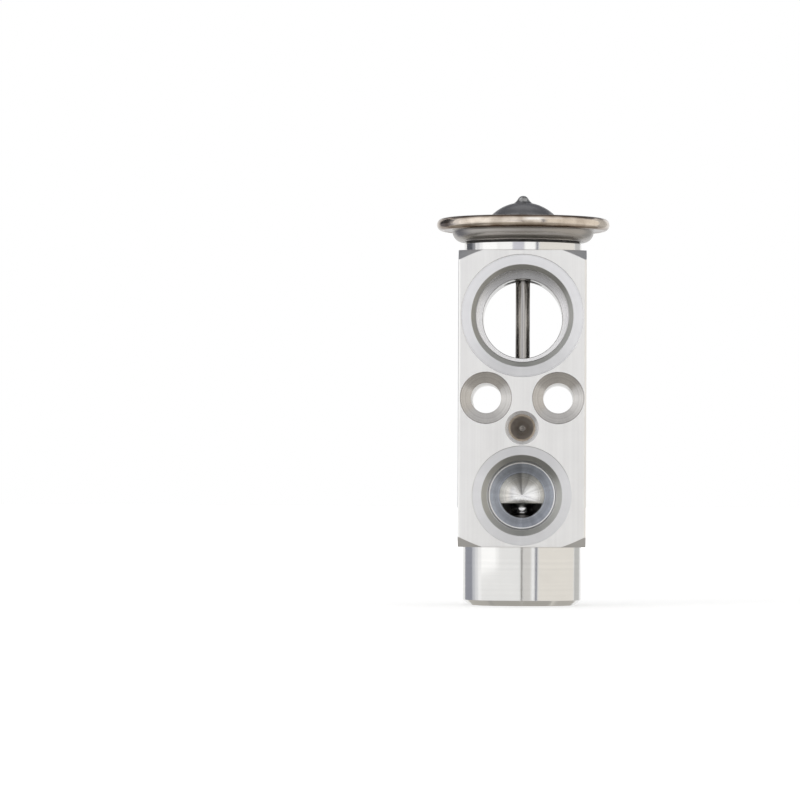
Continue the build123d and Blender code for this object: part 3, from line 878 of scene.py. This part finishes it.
def inlet_cutter(sizes, ports):
    """Inlet mouth, its flat floor and the blind drilling."""
    bore, floor = 2 * mount_radius("liquid_inlet_port"), ports.inlet_depth
    outline, finishes = mouth(
        sizes, ports, ports.inlet_spot, ports.inlet_spot, ports.inlet_funnel, bore, floor, "inlet_ring",
        "inlet_funnel",
    )
    drill, full = ports.inlet_drill / 2, floor + ports.inlet_drill_depth
    corner, small = ports.inlet_corner_radius, sizes.edge_break / 2
    outline[-1] = (bore / 2, floor - corner)
    curve = arc((bore / 2 - corner, floor - corner), corner, 0, 90, 6)[1:]
    outline += curve + [
        (drill + small, floor), (drill, floor + small), (drill, full),
        drill_tip(drill, full, ports.drill_angle),
    ]
    finishes += [INDEX["inlet_ring"]] * len(curve) + [INDEX["inlet_annulus"]] + [INDEX["inlet_drilled"]] * 3
    return cutter(outline, finishes, from_front(*mount_centre("liquid_inlet_port")), steps=192)


def outlet_cutter(sizes, ports):
    """Outlet mouth and its passage with a rounded end beyond the spindle."""
    outline, finishes = mouth(
        sizes, ports, ports.outlet_spot, ports.outlet_land, ports.outlet_funnel,
        2 * mount_radius("evaporator_outlet_port"), ports.outlet_depth, "outlet_ring", "outlet_funnel",
    )
    passage, curve = ports.outlet_passage / 2, ports.outlet_end_radius
    end = BODY_HIGH.y + ports.outlet_past_axis
    outline += [(passage, ports.outlet_depth)]
    outline += arc((passage - curve, end - curve), curve, 0, 90, 10) + [(0, end)]
    finishes += [INDEX["outlet_bore"]] * (len(outline) - 1 - len(finishes))
    return cutter(outline, finishes, from_rear(*mount_centre("evaporator_outlet_port")), steps=192)


def bolt_cutters(sizes, ports):
    """Two bolt holes with coned seats in the front face."""
    hole = MOUNTS["fixing_bolts"]["dims"]["hole_r_mm"] * MM
    seat, edge = ports.bolt_seat / 2, 2 * sizes.edge_break
    cone_end = ports.bolt_seat_depth + (seat - hole) / math.tan(ports.drill_angle / 2)
    outline = [
        (0, -OVER), (seat + edge, -OVER), (seat + edge, 0), (seat, edge), (seat, ports.bolt_seat_depth),
        (hole, cone_end), (hole, BODY_DEPTH - edge), (hole + edge, BODY_DEPTH),
        (hole + edge, BODY_DEPTH + OVER), (0, BODY_DEPTH + OVER),
    ]
    made = []
    for finish, centre in zip(("seat_left", "seat_right"), bolt_centres()):
        finishes = [INDEX[finish]] * 5 + [INDEX["bolt_bore"]] * 2 + [INDEX["block_skin"]] * 2
        made.append(cutter(outline, finishes, from_front(*centre), steps=128))
    return made


def tapped_cutter(sizes, ports):
    """Blind tapped hole with its countersink and the small ring that the drill left in its floor."""
    hole, floor, sink = mount_radius("clamp_plate_thread"), ports.tapped_depth, ports.tapped_sink / 2
    ring_outer, ring_inner, ring_depth = hole * 0.28, hole * 0.2, floor + hole * 0.35
    outline = [
        (0, -OVER), (sink, -OVER), (sink, 0), (hole, sink - hole), (hole, floor), (ring_outer, ring_depth),
        (ring_inner, ring_depth - sizes.edge_break), drill_tip(hole, floor, ports.drill_angle),
    ]
    finishes = [INDEX["tapped_sink"]] * 3 + [INDEX["tapped_hole"]] + [INDEX["tapped_floor"]] * 3
    return cutter(outline, finishes, from_front(*mount_centre("clamp_plate_thread")), steps=96)


def spindle_cutters(sizes):
    """The bores along the spindle axis."""
    _, outlet_z = mount_centre("evaporator_outlet_port")
    _, suction_z = mount_centre("suction_port_front")
    thread, chamber = sizes.adjuster_thread / 2, sizes.chamber_diameter / 2
    orifice, edge, deep = sizes.orifice_diameter / 2, 3 * sizes.edge_break, sizes.adjuster_depth
    lower = [
        (0, -OVER), (thread + edge, -OVER), (thread + edge, 0), (thread, edge), (thread, deep),
        (chamber, deep), (chamber, sizes.chamber_top), (orifice + sizes.orifice_chamfer, sizes.chamber_top),
        (orifice, sizes.chamber_top + sizes.orifice_chamfer), (orifice, outlet_z), (0, outlet_z),
    ]
    pin, rod, pocket = sizes.pin_bore / 2, sizes.rod_bore / 2, sizes.pocket_diameter / 2
    middle = [
        (0, outlet_z), (pin, outlet_z), (pin, sizes.rod_bore_foot), (rod, sizes.rod_bore_foot),
        (rod, sizes.pocket_floor), (pocket, sizes.pocket_floor), (pocket, suction_z - PASSAGE_END),
        (0, suction_z - PASSAGE_END),
    ]
    neck, equaliser = sizes.neck_thread / 2, sizes.equaliser_diameter / 2
    upper = [
        (0, suction_z + PASSAGE_END), (equaliser, suction_z + PASSAGE_END), (equaliser, sizes.neck_floor),
        (neck, sizes.neck_floor), (neck, BODY_HIGH.z + OVER), (0, BODY_HIGH.z + OVER),
    ]
    return [
        cutter(lower, [INDEX["block_turned"]] * 4 + [INDEX["chamber_wall"]] * 6, steps=128),
        cutter(middle, INDEX["chamber_wall"], steps=64),
        cutter(upper, INDEX["block_turned"], steps=128),
    ]


def screw_thread(bm, crest, root, pitch, start, end, steps=48):
    """Ridge of a thread wound about Z between two levels, given the radii of its crest and its root."""
    middle, half_flat = start + 0.5 * pitch, 0.06 * pitch
    profile = [(root, start), (crest, middle - half_flat), (crest, middle + half_flat), (root, start + pitch)]
    verts = [bm.verts.new((radius, 0, height)) for radius, height in profile]
    edges = [bm.edges.new(pair) for pair in zip(verts, verts[1:] + verts[:1])]
    total = max(1, round(((end - start) / pitch - 1) * steps))
    made = bmesh.ops.spin(
        bm, geom=verts + edges, cent=(0, 0, 0), axis=(0, 0, 1), dvec=(0, 0, pitch / steps),
        angle=math.tau * total / steps, steps=total, use_merge=False,
    )
    bm.faces.new(verts)
    bm.faces.new([part for part in made["geom_last"] if isinstance(part, bmesh.types.BMVert)])


def helix_wire(bm, radius, thick, turns, height, start):
    """Round wire of a spring: a closed end turn, working turns and a closed end turn."""
    steps, sides = 40, 14
    ring = bmesh.ops.create_circle(bm, cap_ends=True, radius=thick, segments=sides)["verts"]
    bmesh.ops.rotate(bm, verts=ring, cent=(0, 0, 0), matrix=Matrix.Rotation(math.radians(90), 3, "X"))
    bmesh.ops.translate(bm, verts=ring, vec=(radius, 0, start + thick))
    geometry = list(ring) + list(ring[0].link_faces[0].edges)
    closed_turns, closed_rise = 0.9, 2 * thick * 1.02
    working_rise = (height - 2 * thick - 2 * closed_rise * closed_turns) / turns
    for rise, amount in ((closed_rise, closed_turns), (working_rise, turns), (closed_rise, closed_turns)):
        total = round(steps * amount)
        made = bmesh.ops.spin(
            bm, geom=geometry, cent=(0, 0, 0), axis=(0, 0, 1), dvec=(0, 0, rise / steps),
            angle=math.tau * total / steps, steps=total, use_merge=False,
        )
        geometry = [part for part in made["geom_last"] if not isinstance(part, bmesh.types.BMFace)]
    last = [part for part in geometry if isinstance(part, bmesh.types.BMVert)]
    edges = {edge for vert in last for edge in vert.link_edges if edge.other_vert(vert) in last}
    bmesh.ops.contextual_create(bm, geom=list(edges))
    bmesh.ops.recalc_face_normals(bm, faces=bm.faces)


class VALVE_OT_block(bpy.types.Operator):
    """Machines the block: the bar, its turned ends and every hole"""

    bl_idname = "valve.block"
    bl_label = "Machined block"

    def execute(self, context):
        scene = context.scene
        sizes, ports = scene.valve_block, scene.valve_ports
        block = combine(block_blank(sizes), turned_ends(sizes), "UNION")
        holes = spindle_cutters(sizes) + suction_cutters(sizes, ports)
        holes += [inlet_cutter(sizes, ports), outlet_cutter(sizes, ports), tapped_cutter(sizes, ports)]
        holes += bolt_cutters(sizes, ports) + corner_cones(sizes)
        block = combine(block, holes, "DIFFERENCE")
        for material in block_materials(scene.valve_colours):
            block.data.materials.append(material)
        smooth_faces(block.data)
        fit(block, "valve", "block_aluminium", "valve_body")
        return {"FINISHED"}


class VALVE_OT_threads(bpy.types.Operator):
    """Cuts the thread of the tapped hole"""

    bl_idname = "valve.threads"
    bl_label = "Tapped thread"

    def execute(self, context):
        ports, colours = context.scene.valve_ports, context.scene.valve_colours
        gap, run_out = 0.01 * MM, 0.5 * MM
        root = mount_radius("clamp_plate_thread") - gap
        x, z = mount_centre("clamp_plate_thread")
        first, last = ports.tapped_sink / 2 - root + ports.tapped_lead, ports.tapped_depth - run_out
        bm = bmesh.new()
        screw_thread(bm, ports.tapped_core / 2, root, ports.tapped_pitch, first, last)
        bmesh.ops.transform(bm, matrix=from_front(x, z), verts=bm.verts)
        bmesh.ops.recalc_face_normals(bm, faces=bm.faces)
        marks = rings((x, 0, z), ABOUT_Y, 2.0)
        metal = marked_metal("tapped_thread", tinted(colours.tapped, 0.88), marks, contrast=0.2)
        fit(mesh_object("clamp_screw_thread", bm, [metal]), "valve", "block_aluminium")
        return {"FINISHED"}


class VALVE_OT_head(bpy.types.Operator):
    """Presses the shells of the sensing head and welds its rim and plug"""

    bl_idname = "valve.head"
    bl_label = "Sensing head"

    def execute(self, context):
        head, colours = context.scene.valve_head, context.scene.valve_colours
        self.lower_housing(head, colours, context.scene.valve_block)
        self.cover(head, colours)
        self.rim(head, colours)
        self.plug(head, colours)
        self.gasket(colours)
        return {"FINISHED"}

    def lower_housing(self, head, colours, block):
        """Bowl with a flat foot, a round corner, the flange and the screwed collar."""
        low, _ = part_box("head_lower_housing")
        foot, corner, sheet = head.foot_diameter / 2, head.corner_radius, head.sheet
        foot_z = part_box("head_gasket")[1].z
        corner_z = foot_z + corner
        collar = block.neck_thread / 2 - head.collar_gap
        bore, flange = head.collar_bore / 2, head.flange_diameter / 2
        bend, lead = 0.35 * MM, 0.4 * MM
        outline = [(bore, low.z), (collar - lead, low.z), (collar, low.z + lead), (collar, foot_z)]
        outline += arc((foot, corner_z), corner, -90, 0, 14)
        under = head.split_level - sheet
        outline += [(foot + corner, under - bend), (foot + corner + 0.3 * bend, under - 0.3 * bend)]
        outline += [(foot + corner + bend, under), (flange, under), (flange, head.split_level)]
        outline += [(foot + corner - sheet, head.split_level)]
        outline += arc((foot, corner_z), corner - sheet, 0, -90, 8)
        outline += [(bore, foot_z + sheet)]
        metal = marked_metal("head_steel", colours.head, about_spindle(3.5), roughness=0.27, bump=0.3)
        piece = turned_piece("head_lower_shell", outline, metal, steps=256)
        fit(piece, "valve", "head_steel", "head_lower_housing")

    def cover(self, head, colours):
        """Flat flange with the dome."""
        low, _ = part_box("head_cover")
        top = low.z + head.sheet
        rise, half = head.dome_rise, head.dome_diameter / 2
        sphere = (half**2 + rise**2) / (2 * rise)
        centre = (0, top + rise - sphere)
        clearance = 0.05 * MM
        hole = head.plug_shank / 2 + clearance
        foot_angle = math.degrees(math.asin((top - centre[1]) / sphere))
        hole_angle = math.degrees(math.acos(hole / sphere))
        flange, blend = head.flange_diameter / 2, head.dome_foot_radius
        outline = [(flange, low.z), (flange, top), (half + 2 * blend, top)]
        outline += [(half + blend * 0.6, top + 0.12 * blend)]
        outline += arc(centre, sphere, foot_angle + 2.5, hole_angle, 24)
        inner = sphere - head.sheet
        inner_foot = math.degrees(math.asin((low.z - centre[1]) / inner))
        outline += arc(centre, inner, math.degrees(math.acos(hole / inner)), inner_foot, 24)
        metal = marked_metal(
            "cover_steel", colours.cover, faced(1.6), roughness=0.26, spread=0.06, contrast=0.12
        )
        piece = turned_piece("head_dome_shell", outline, metal, steps=256)
        fit(piece, "valve", "cover_steel", "head_cover")

    def rim(self, head, colours):
        """Half-round weld bead with ripples."""
        low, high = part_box("rim_weld")
        radius, middle = (high.z - low.z) / 2, (high.z + low.z) / 2
        inner = high.x - radius
        outline = arc((inner, middle), radius - head.bead_ripple, -90, 90, 24)
        root, tuck = inner - 0.25 * MM, 0.1 * MM
        outline = [(root, outline[0][1] + tuck), *outline, (root, outline[-1][1] - tuck)]
        bm = bmesh.new()
        lathe(bm, outline, 0, 512, closed=True)
        for vert in bm.verts:
            turn = math.atan2(vert.co.y, vert.co.x)
            away = math.hypot(vert.co.x, vert.co.y)
            outward = max(0.0, (away - inner) / radius)
            wave = math.sin(turn * head.bead_ripples + 1.3 * math.sin(turn * 17))
            wander = math.sin(turn * 7 + 0.8) + 0.6 * math.sin(turn * 13 + 2.1)
            push = head.bead_ripple * (0.2 * wave + 0.3 * wander) * outward
            vert.co.x *= 1 + push / away
            vert.co.y *= 1 + push / away
        fit(mesh_object("rim_weld_bead", bm, [weld_material(colours)]), "valve", "weld_steel", "rim_weld")

    def plug(self, head, colours):
        """Charge plug: shank, a small uneven weld and a round cap."""
        low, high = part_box("charge_plug")
        cap, shank, foot = head.plug_diameter / 2, head.plug_shank / 2, head.plug_foot
        centre_z = high.z - cap
        base_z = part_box("head_cover")[0].z + head.sheet + head.dome_rise
        outline = [(0, low.z), (shank, low.z), (shank, base_z - 0.1 * MM), (cap + foot, base_z - 0.2 * MM)]
        outline += [(cap + 0.6 * foot, base_z + 0.02 * MM), (cap + 0.26 * foot, base_z + 0.25 * MM)]
        outline += [(cap + 0.05 * foot, base_z + 0.46 * MM)] + arc((0, centre_z), cap, 24, 90, 14)
        metal = marked_metal(
            "plug_steel", tinted(colours.polished, 0.43), patches(0.8), roughness=0.18, contrast=0.3,
            bump=0.3, relief=0.02,
        )
        piece = turned_piece("charge_plug_cap", outline, metal, closed=False, steps=96)
        fit(piece, "valve", "plug_steel", "charge_plug")

    def gasket(self, colours):
        """Black ring between neck and bowl, with rounded rims."""
        low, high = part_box("head_gasket")
        thick = (high.z - low.z) / 2
        points = frame["nodes"]["head_gasket"].data.vertices
        inner, middle = min(math.hypot(point.co.x, point.co.y) for point in points), low.z + thick
        outline = arc((high.x - thick, middle), thick, -90, 90, 8)
        outline += arc((inner + thick, middle), thick, 90, 270, 8)
        piece = turned_piece("head_gasket_ring", outline, rubber_material(colours), steps=192)
        fit(piece, "valve", "seal_rubber", "head_gasket")


class VALVE_OT_stem(bpy.types.Operator):
    """Turns the sensing rod, the push pin and the ball"""

    bl_idname = "valve.stem"
    bl_label = "Rod, pin and ball"

    def execute(self, context):
        inner, colours = context.scene.valve_inner, context.scene.valve_colours
        metal = marked_metal(
            "rod_steel", colours.steel, streaks((1, 1, 0.02), 3.0), roughness=0.2, spread=0.06, contrast=0.12,
            bump=0.3,
        )
        low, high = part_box("sensing_rod")
        radius, end = high.x, 0.3 * MM
        outline = [(0, low.z), (radius - end, low.z), (radius, low.z + end), (radius, high.z - end)]
        outline += [(radius - end, high.z), (0, high.z)]
        rod = turned_piece("sensing_rod_bar", outline, metal, closed=False, steps=64)
        fit(rod, "stem", "rod_steel", "sensing_rod")
        low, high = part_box("push_pin")
        body, tip, step = inner.pin_diameter / 2, inner.tip_diameter / 2, inner.pin_step
        groove = 0.12 * MM
        outline = [(0, low.z), (tip - groove, low.z), (tip, low.z + groove), (tip, step - 3 * groove)]
        outline += [(tip - groove, step - 2.5 * groove), (tip - groove, step - 0.5 * groove)]
        outline += [(tip + groove, step), (body - groove, step + groove), (body, step + 2 * groove)]
        outline += [(body, high.z), (0, high.z)]
        pin = turned_piece("push_pin_bar", outline, metal, closed=False, steps=64)
        fit(pin, "stem", "rod_steel", "push_pin")
        low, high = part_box("valve_ball")
        bm = bmesh.new()
        bmesh.ops.create_icosphere(bm, subdivisions=5, radius=(high.z - low.z) / 2)
        bmesh.ops.translate(bm, vec=(0, 0, (high.z + low.z) / 2), verts=bm.verts)
        polished = marked_metal(
            "ball_steel", colours.polished, patches(0.4), roughness=0.12, spread=0.05, bump=0.6, relief=0.05
        )
        fit(mesh_object("valve_ball_sphere", bm, [polished]), "stem", "ball_steel", "valve_ball")
        return {"FINISHED"}


class VALVE_OT_spring(bpy.types.Operator):
    """Winds the superheat spring"""

    bl_idname = "valve.spring"
    bl_label = "Superheat spring"

    def execute(self, context):
        inner, colours = context.scene.valve_inner, context.scene.valve_colours
        low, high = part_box("superheat_spring")
        tall = high.z - low.z
        bm = bmesh.new()
        helix_wire(bm, inner.spring_diameter / 2, inner.wire_diameter / 2, inner.spring_turns, tall, low.z)
        metal = marked_metal(
            "spring_steel", tinted(colours.steel, 0.8), patches(0.6), roughness=0.28, spread=0.1,
            contrast=0.15,
        )
        spring = mesh_object("superheat_coil", bm, [metal])
        fit(spring, "adjuster_slide", "spring_steel", "superheat_spring")
        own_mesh(spring)
        return {"FINISHED"}


class VALVE_OT_adjuster(bpy.types.Operator):
    """Turns the adjusting screw with its thread, groove, pocket and hex socket"""

    bl_idname = "valve.adjuster"
    bl_label = "Adjusting screw"

    def execute(self, context):
        inner, colours = context.scene.valve_inner, context.scene.valve_colours
        low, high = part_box("adjusting_screw")
        ring_low, ring_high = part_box("adjuster_o_ring")
        pitch, deep, bevel, lead = 1.0 * MM, 0.5 * MM, 0.6 * MM, 0.5 * MM
        room, edge, slack, run_out = 0.2 * MM, 0.2 * MM, 0.05 * MM, 0.3 * MM
        core, collar = inner.screw_thread / 2 - deep, inner.screw_collar / 2
        pocket, pocket_floor = inner.pocket_diameter / 2, high.z - inner.pocket_depth
        groove = collar - (ring_high.z - ring_low.z) - slack
        outline = [
            (0, low.z), (core - bevel, low.z), (core, low.z + bevel), (core, inner.collar_foot - bevel),
            (collar, inner.collar_foot), (collar, ring_low.z - room), (groove, ring_low.z - room),
            (groove, ring_high.z + room), (collar, ring_high.z + room), (collar, high.z - edge),
            (collar - edge, high.z), (pocket, high.z), (pocket, pocket_floor), (0, pocket_floor),
        ]
        metal = marked_metal("screw_aluminium", colours.turned, faced(2.2), roughness=0.22)
        bm = bmesh.new()
        lathe(bm, outline, 0, 128)
        body = mesh_object("adjusting_plug", bm, [], smooth=False)
        corner = inner.hex_flats / math.sqrt(3)
        socket = bmesh.new()
        made = bmesh.ops.create_cone(
            socket, cap_ends=True, segments=6, radius1=corner, radius2=corner, depth=inner.hex_depth + OVER
        )
        bmesh.ops.translate(socket, vec=(0, 0, low.z + (inner.hex_depth - OVER) / 2), verts=made["verts"])
        wide, below, inside = corner + 0.1 * MM, low.z - OVER, low.z + lead
        sink = bmesh.new()
        lathe(sink, [(0, below), (wide + OVER, below), (wide - lead, inside), (0, inside)])
        tools = [mesh_object("cutter", socket, [], False), mesh_object("cutter", sink, [], False)]
        screw = combine(body, tools, "DIFFERENCE")
        bm = bmesh.new()
        bm.from_mesh(screw.data)
        first, last = low.z + run_out, inner.collar_foot - run_out
        screw_thread(bm, inner.screw_thread / 2, core, pitch, first, last, 64)
        bmesh.ops.recalc_face_normals(bm, faces=bm.faces)
        old = screw.data
        whole = mesh_object("adjusting_plug_threaded", bm, [metal])
        bpy.data.objects.remove(screw)
        bpy.data.meshes.remove(old)
        fit(whole, "adjuster", "screw_aluminium", "adjusting_screw")
        return {"FINISHED"}


class VALVE_OT_inner_finish(bpy.types.Operator):
    """Gives the carried-over inner pieces their metal and rubber"""

    bl_idname = "valve.inner_finish"
    bl_label = "Inner finishes"

    def execute(self, context):
        colours = context.scene.valve_colours
        brass = marked_metal("plate_brass", colours.brass, about_spindle(2.5), roughness=0.24, contrast=0.12)
        sheet = marked_metal(
            "diaphragm_steel", tinted(colours.polished, 0.85), faced(1.5), roughness=0.2, contrast=0.12
        )
        clip = marked_metal("retainer_steel", colours.steel, faced(2.5), roughness=0.25, contrast=0.12)
        # Painted shade: the ball carrier's steel is darkened so that the chamber looks dark round the ball
        dark = marked_metal("carrier_shaded_steel", tinted(colours.steel, 0.4), about_spindle(2.5), contrast=0.12)
        rubber = rubber_material(colours)
        finishes = {
            "diaphragm": sheet, "damper_spring": sheet, "diaphragm_plate": brass, "ball_carrier": dark,
            "seal_retainer": clip, "rod_seal": rubber, "adjuster_o_ring": rubber,
        }
        for name, material in finishes.items():
            data = frame["nodes"][name].data
            data.materials.clear()
            data.materials.append(material)
        return {"FINISHED"}


SCREEN_DISTANCE = 1.25
# Name, azimuth from the camera and height above the valve in degrees from low to high, and tone
SCREENS = (
    ("screen_lens", (-1.8, 1.8), (-24, 1), (0.25, 0.235, 0.22)),
    ("screen_beside", (3, 18), (-24, 1), (0.74, 0.725, 0.71)),
    ("screen_key", (-86, -52), (-8, 12), (1.22, 1.22, 1.22)),
    ("screen_key_above", (-86, -52), (12, 56), (1.15, 1.15, 1.15)),
    ("screen_key_end", (-52, -45), (-8, 33), (1.08, 1.08, 1.08)),
    ("screen_edge", (-95, -86), (-24, 56), (1.05, 1.05, 1.06)),
    ("screen_fade", (-104, -95), (-24, 56), (0.84, 0.845, 0.87)),
    ("screen_shade", (-113, -104), (-24, 1), (0.62, 0.63, 0.67)),
    ("screen_dark", (-146, -113), (-24, 1), (0.33, 0.34, 0.385)),
    ("screen_upper_dark", (-146, -118), (1, 30), (0.11, 0.115, 0.13)),
    ("screen_upper_shade", (-118, -108), (1, 30), (0.31, 0.315, 0.34)),
    ("screen_line", (20.5, 23.6), (-24, 33), (1.05, 1.05, 1.07)),
    ("screen_strip", (26.0, 30.5), (-24, 33), (0.22, 0.23, 0.28)),
    ("screen_lilac", (-20, 2.5), (1, 9), (0.67, 0.67, 0.74)),
    ("screen_upper_left", (-45, -20), (1, 9), (1.13, 1.13, 1.13)),
    ("screen_upper", (4, 24), (1, 9), (1.18, 1.18, 1.18)),
    ("screen_warm", (33, 122), (-24, 33), (0.9, 0.865, 0.81)),
    ("screen_end", (124, 152), (-24, 30), (0.6, 0.6, 0.59)),
    ("screen_top", (-47, 60), (36, 66), (0.95, 0.95, 0.95)),
    ("screen_back_high", (118, 242), (70, 80), (0.28, 0.28, 0.3)),
    ("screen_back", (155, 205), (46, 70), (0.52, 0.52, 0.53)),
    ("screen_back_low", (155, 205), (20, 46), (0.25, 0.25, 0.27)),
    ("screen_back_right", (118, 155), (34, 70), (0.26, 0.265, 0.28)),
    ("screen_back_left", (205, 242), (34, 70), (0.27, 0.27, 0.285)),
    ("screen_zenith", (-180, 180), (81, 89), (0.35, 0.35, 0.35)),
    ("screen_table_left", (-128, -60), (-60, -26), (0.38, 0.37, 0.355)),
    ("screen_table_front", (-60, 60), (-60, -26), (0.5, 0.48, 0.445)),
    ("screen_table_right", (60, 128), (-60, -26), (0.74, 0.71, 0.665)),
    ("screen_table_back", (128, 232), (-60, -26), (0.5, 0.48, 0.445)),
    ("screen_table", (-180, 180), (-89, -60), (0.44, 0.425, 0.395)),
)


def area_lamp(name, place, size, power, tint=(1, 1, 1)):
    """Soft rectangular lamp that faces the middle of the valve."""
    lamp = bpy.data.lights.new(name, "AREA")
    lamp.shape = "RECTANGLE"
    lamp.size, lamp.size_y = size
    lamp.energy = power
    lamp.color = tint
    made = bpy.data.objects.new(name, lamp)
    made.location = place
    made.rotation_mode = "QUATERNION"
    made.rotation_quaternion = (Vector((0, 0, CAD_HIGH.z / 2)) - Vector(place)).to_track_quat("-Z", "Y")
    made.visible_glossy = False
    bpy.context.scene.collection.objects.link(made)


class VALVE_OT_stage(bpy.types.Operator):
    """Sets up the camera, the lamps, the pale floor and the white surroundings"""

    bl_idname = "valve.stage"
    bl_label = "Studio"

    def execute(self, context):
        scene = context.scene
        studio = scene.valve_studio
        scene.view_settings.view_transform = "Standard"
        self.camera(scene, studio)
        self.world(scene, studio)
        self.floor(studio)
        self.lamps(studio)
        self.screens()
        return {"FINISHED"}

    def camera(self, scene, studio):
        """Camera at the photograph's place, turned so that the valve lands where it is there."""
        image_middle, image_width = 400, 800
        data = bpy.data.cameras.new("camera")
        data.sensor_width = 36
        data.lens = studio.focal_pixels * data.sensor_width / image_width
        data.clip_start, data.clip_end = 0.05, 50
        camera = bpy.data.objects.new("camera", data)
        camera.location = (studio.camera_x, -studio.camera_distance, studio.camera_height)
        aside = (image_middle - studio.level_column) / studio.focal_pixels
        upward = (studio.level_row - image_middle) / studio.focal_pixels
        turn = Vector((aside, 1, upward)).to_track_quat("-Z", "Y")
        camera.rotation_mode = "QUATERNION"
        camera.rotation_quaternion = turn @ Matrix.Rotation(studio.roll, 3, "Z").to_quaternion()
        scene.collection.objects.link(camera)
        scene.camera = camera

    def world(self, scene, studio):
        """White for the camera and in metal, softer as light."""
        scene.world = scene.world or bpy.data.worlds.new("studio")
        scene.world.use_nodes = True
        tree = scene.world.node_tree
        tree.nodes.clear()
        path = node(tree, "LightPath").outputs
        seen = maths(tree, "MAXIMUM", path["Is Camera Ray"], path["Is Glossy Ray"])
        seen = maths(tree, "MAXIMUM", seen, path["Is Transmission Ray"])
        mirrored = remap(tree, path["Is Camera Ray"], (0.0, 1.0), (studio.world_mirror, 1.0))
        plain = node(tree, "Background", Strength=studio.world_light, Color=WHITE)
        white = node(tree, "Background", Strength=mirrored, Color=WHITE)
        mixed = node(tree, "MixShader", i0=seen, i1=plain.outputs[0], i2=white.outputs[0])
        node(tree, "OutputWorld", Surface=mixed.outputs[0])

    def floor(self, studio):
        """Wide pale floor that keeps the valve's shadow."""
        bm = bmesh.new()
        bmesh.ops.create_grid(bm, x_segments=1, y_segments=1, size=6.0)
        material, tree, shader = blank_material(
            "pale_floor", Base_Color=(*studio.floor_colour, 1), Roughness=0.9, Specular_IOR_Level=0.1,
            Emission_Color=WHITE,
        )
        path = node(tree, "LightPath").outputs
        seen = maths(tree, "MAXIMUM", path["Is Camera Ray"], path["Is Transmission Ray"])
        away = distance(tree, object_place(tree))
        strength = remap(tree, away, (0.1, 1.2), (studio.floor_glow, 1.0), interpolation_type="SMOOTHSTEP")
        wire(tree, shader, Emission_Strength=maths(tree, "MULTIPLY", seen, strength))
        floor = mesh_object("floor", bm, [material], smooth=False)
        floor.visible_glossy = False

    def lamps(self, studio):
        """Key from the upper left, fill from the right and a wide lamp above, for dull surfaces."""
        area_lamp("key_lamp", (-1.1, -1.1, 1.0), (1.1, 1.4), studio.key_power, (1.0, 0.99, 0.98))
        area_lamp("fill_lamp", (1.3, -0.9, 0.6), (0.9, 1.4), studio.fill_power, (1.0, 0.985, 0.96))
        area_lamp("top_lamp", (0, 0.2, 1.5), (1.4, 1.4), studio.top_power)

    def screens(self):
        """Bright and dark screens round the valve, which its turned metal mirrors as bands."""
        for name, (left, right), (low, high), tone in SCREENS:
            material, _, _ = blank_material(name, "Emission", Color=(*tone, 1), Strength=1.0)
            bm = bmesh.new()
            across, up = max(1, round((right - left) / 4)), max(1, round((high - low) / 4))
            bmesh.ops.create_grid(bm, x_segments=across, y_segments=up, size=0.5)
            for vert in bm.verts:
                turn = math.radians(left + (vert.co.x + 0.5) * (right - left))
                rise = math.radians(low + (vert.co.y + 0.5) * (high - low))
                level = SCREEN_DISTANCE * math.cos(rise)
                height = CAD_HIGH.z / 2 + SCREEN_DISTANCE * math.sin(rise)
                vert.co = (level * math.sin(turn), -level * math.cos(turn), height)
            screen = mesh_object(name, bm, [material], smooth=False)
            screen.visible_camera = False
            screen.visible_diffuse = False
            screen.visible_shadow = False


class VALVE_PT_panel(bpy.types.Panel):
    """Lists the sizes, colours and steps of the valve"""

    bl_label = "Expansion valve"
    bl_idname = "VALVE_PT_panel"
    bl_space_type = "VIEW_3D"
    bl_region_type = "UI"
    bl_category = "Valve"

    def draw(self, context):
        for step in STEPS:
            self.layout.operator(step.bl_idname)
        for name, group in GROUPS.items():
            box = self.layout.box()
            box.label(text=group.__doc__)
            for key in group.__annotations__:
                box.prop(getattr(context.scene, name), key)


STEPS = (
    VALVE_OT_stage,
    VALVE_OT_block,
    VALVE_OT_threads,
    VALVE_OT_head,
    VALVE_OT_stem,
    VALVE_OT_spring,
    VALVE_OT_adjuster,
    VALVE_OT_inner_finish,
)


def register():
    """Registers the sizes, the steps and the panel."""
    for name, group in GROUPS.items():
        bpy.utils.register_class(group)
        setattr(bpy.types.Scene, name, PointerProperty(type=group))
    for step in (*STEPS, VALVE_PT_panel):
        bpy.utils.register_class(step)


def unregister():
    """Removes what register added."""
    for step in reversed((*STEPS, VALVE_PT_panel)):
        bpy.utils.unregister_class(step)
    for name, group in reversed(GROUPS.items()):
        delattr(bpy.types.Scene, name)
        bpy.utils.unregister_class(group)


def main():
    register()
    bpy.ops.valve.stage()
    bpy.ops.valve.block()
    bpy.ops.valve.threads()
    bpy.ops.valve.head()
    bpy.ops.valve.stem()
    bpy.ops.valve.spring()
    bpy.ops.valve.adjuster()
    bpy.ops.valve.inner_finish()
    bpy.context.view_layer.update()


if __name__ == "__main__":
    main()
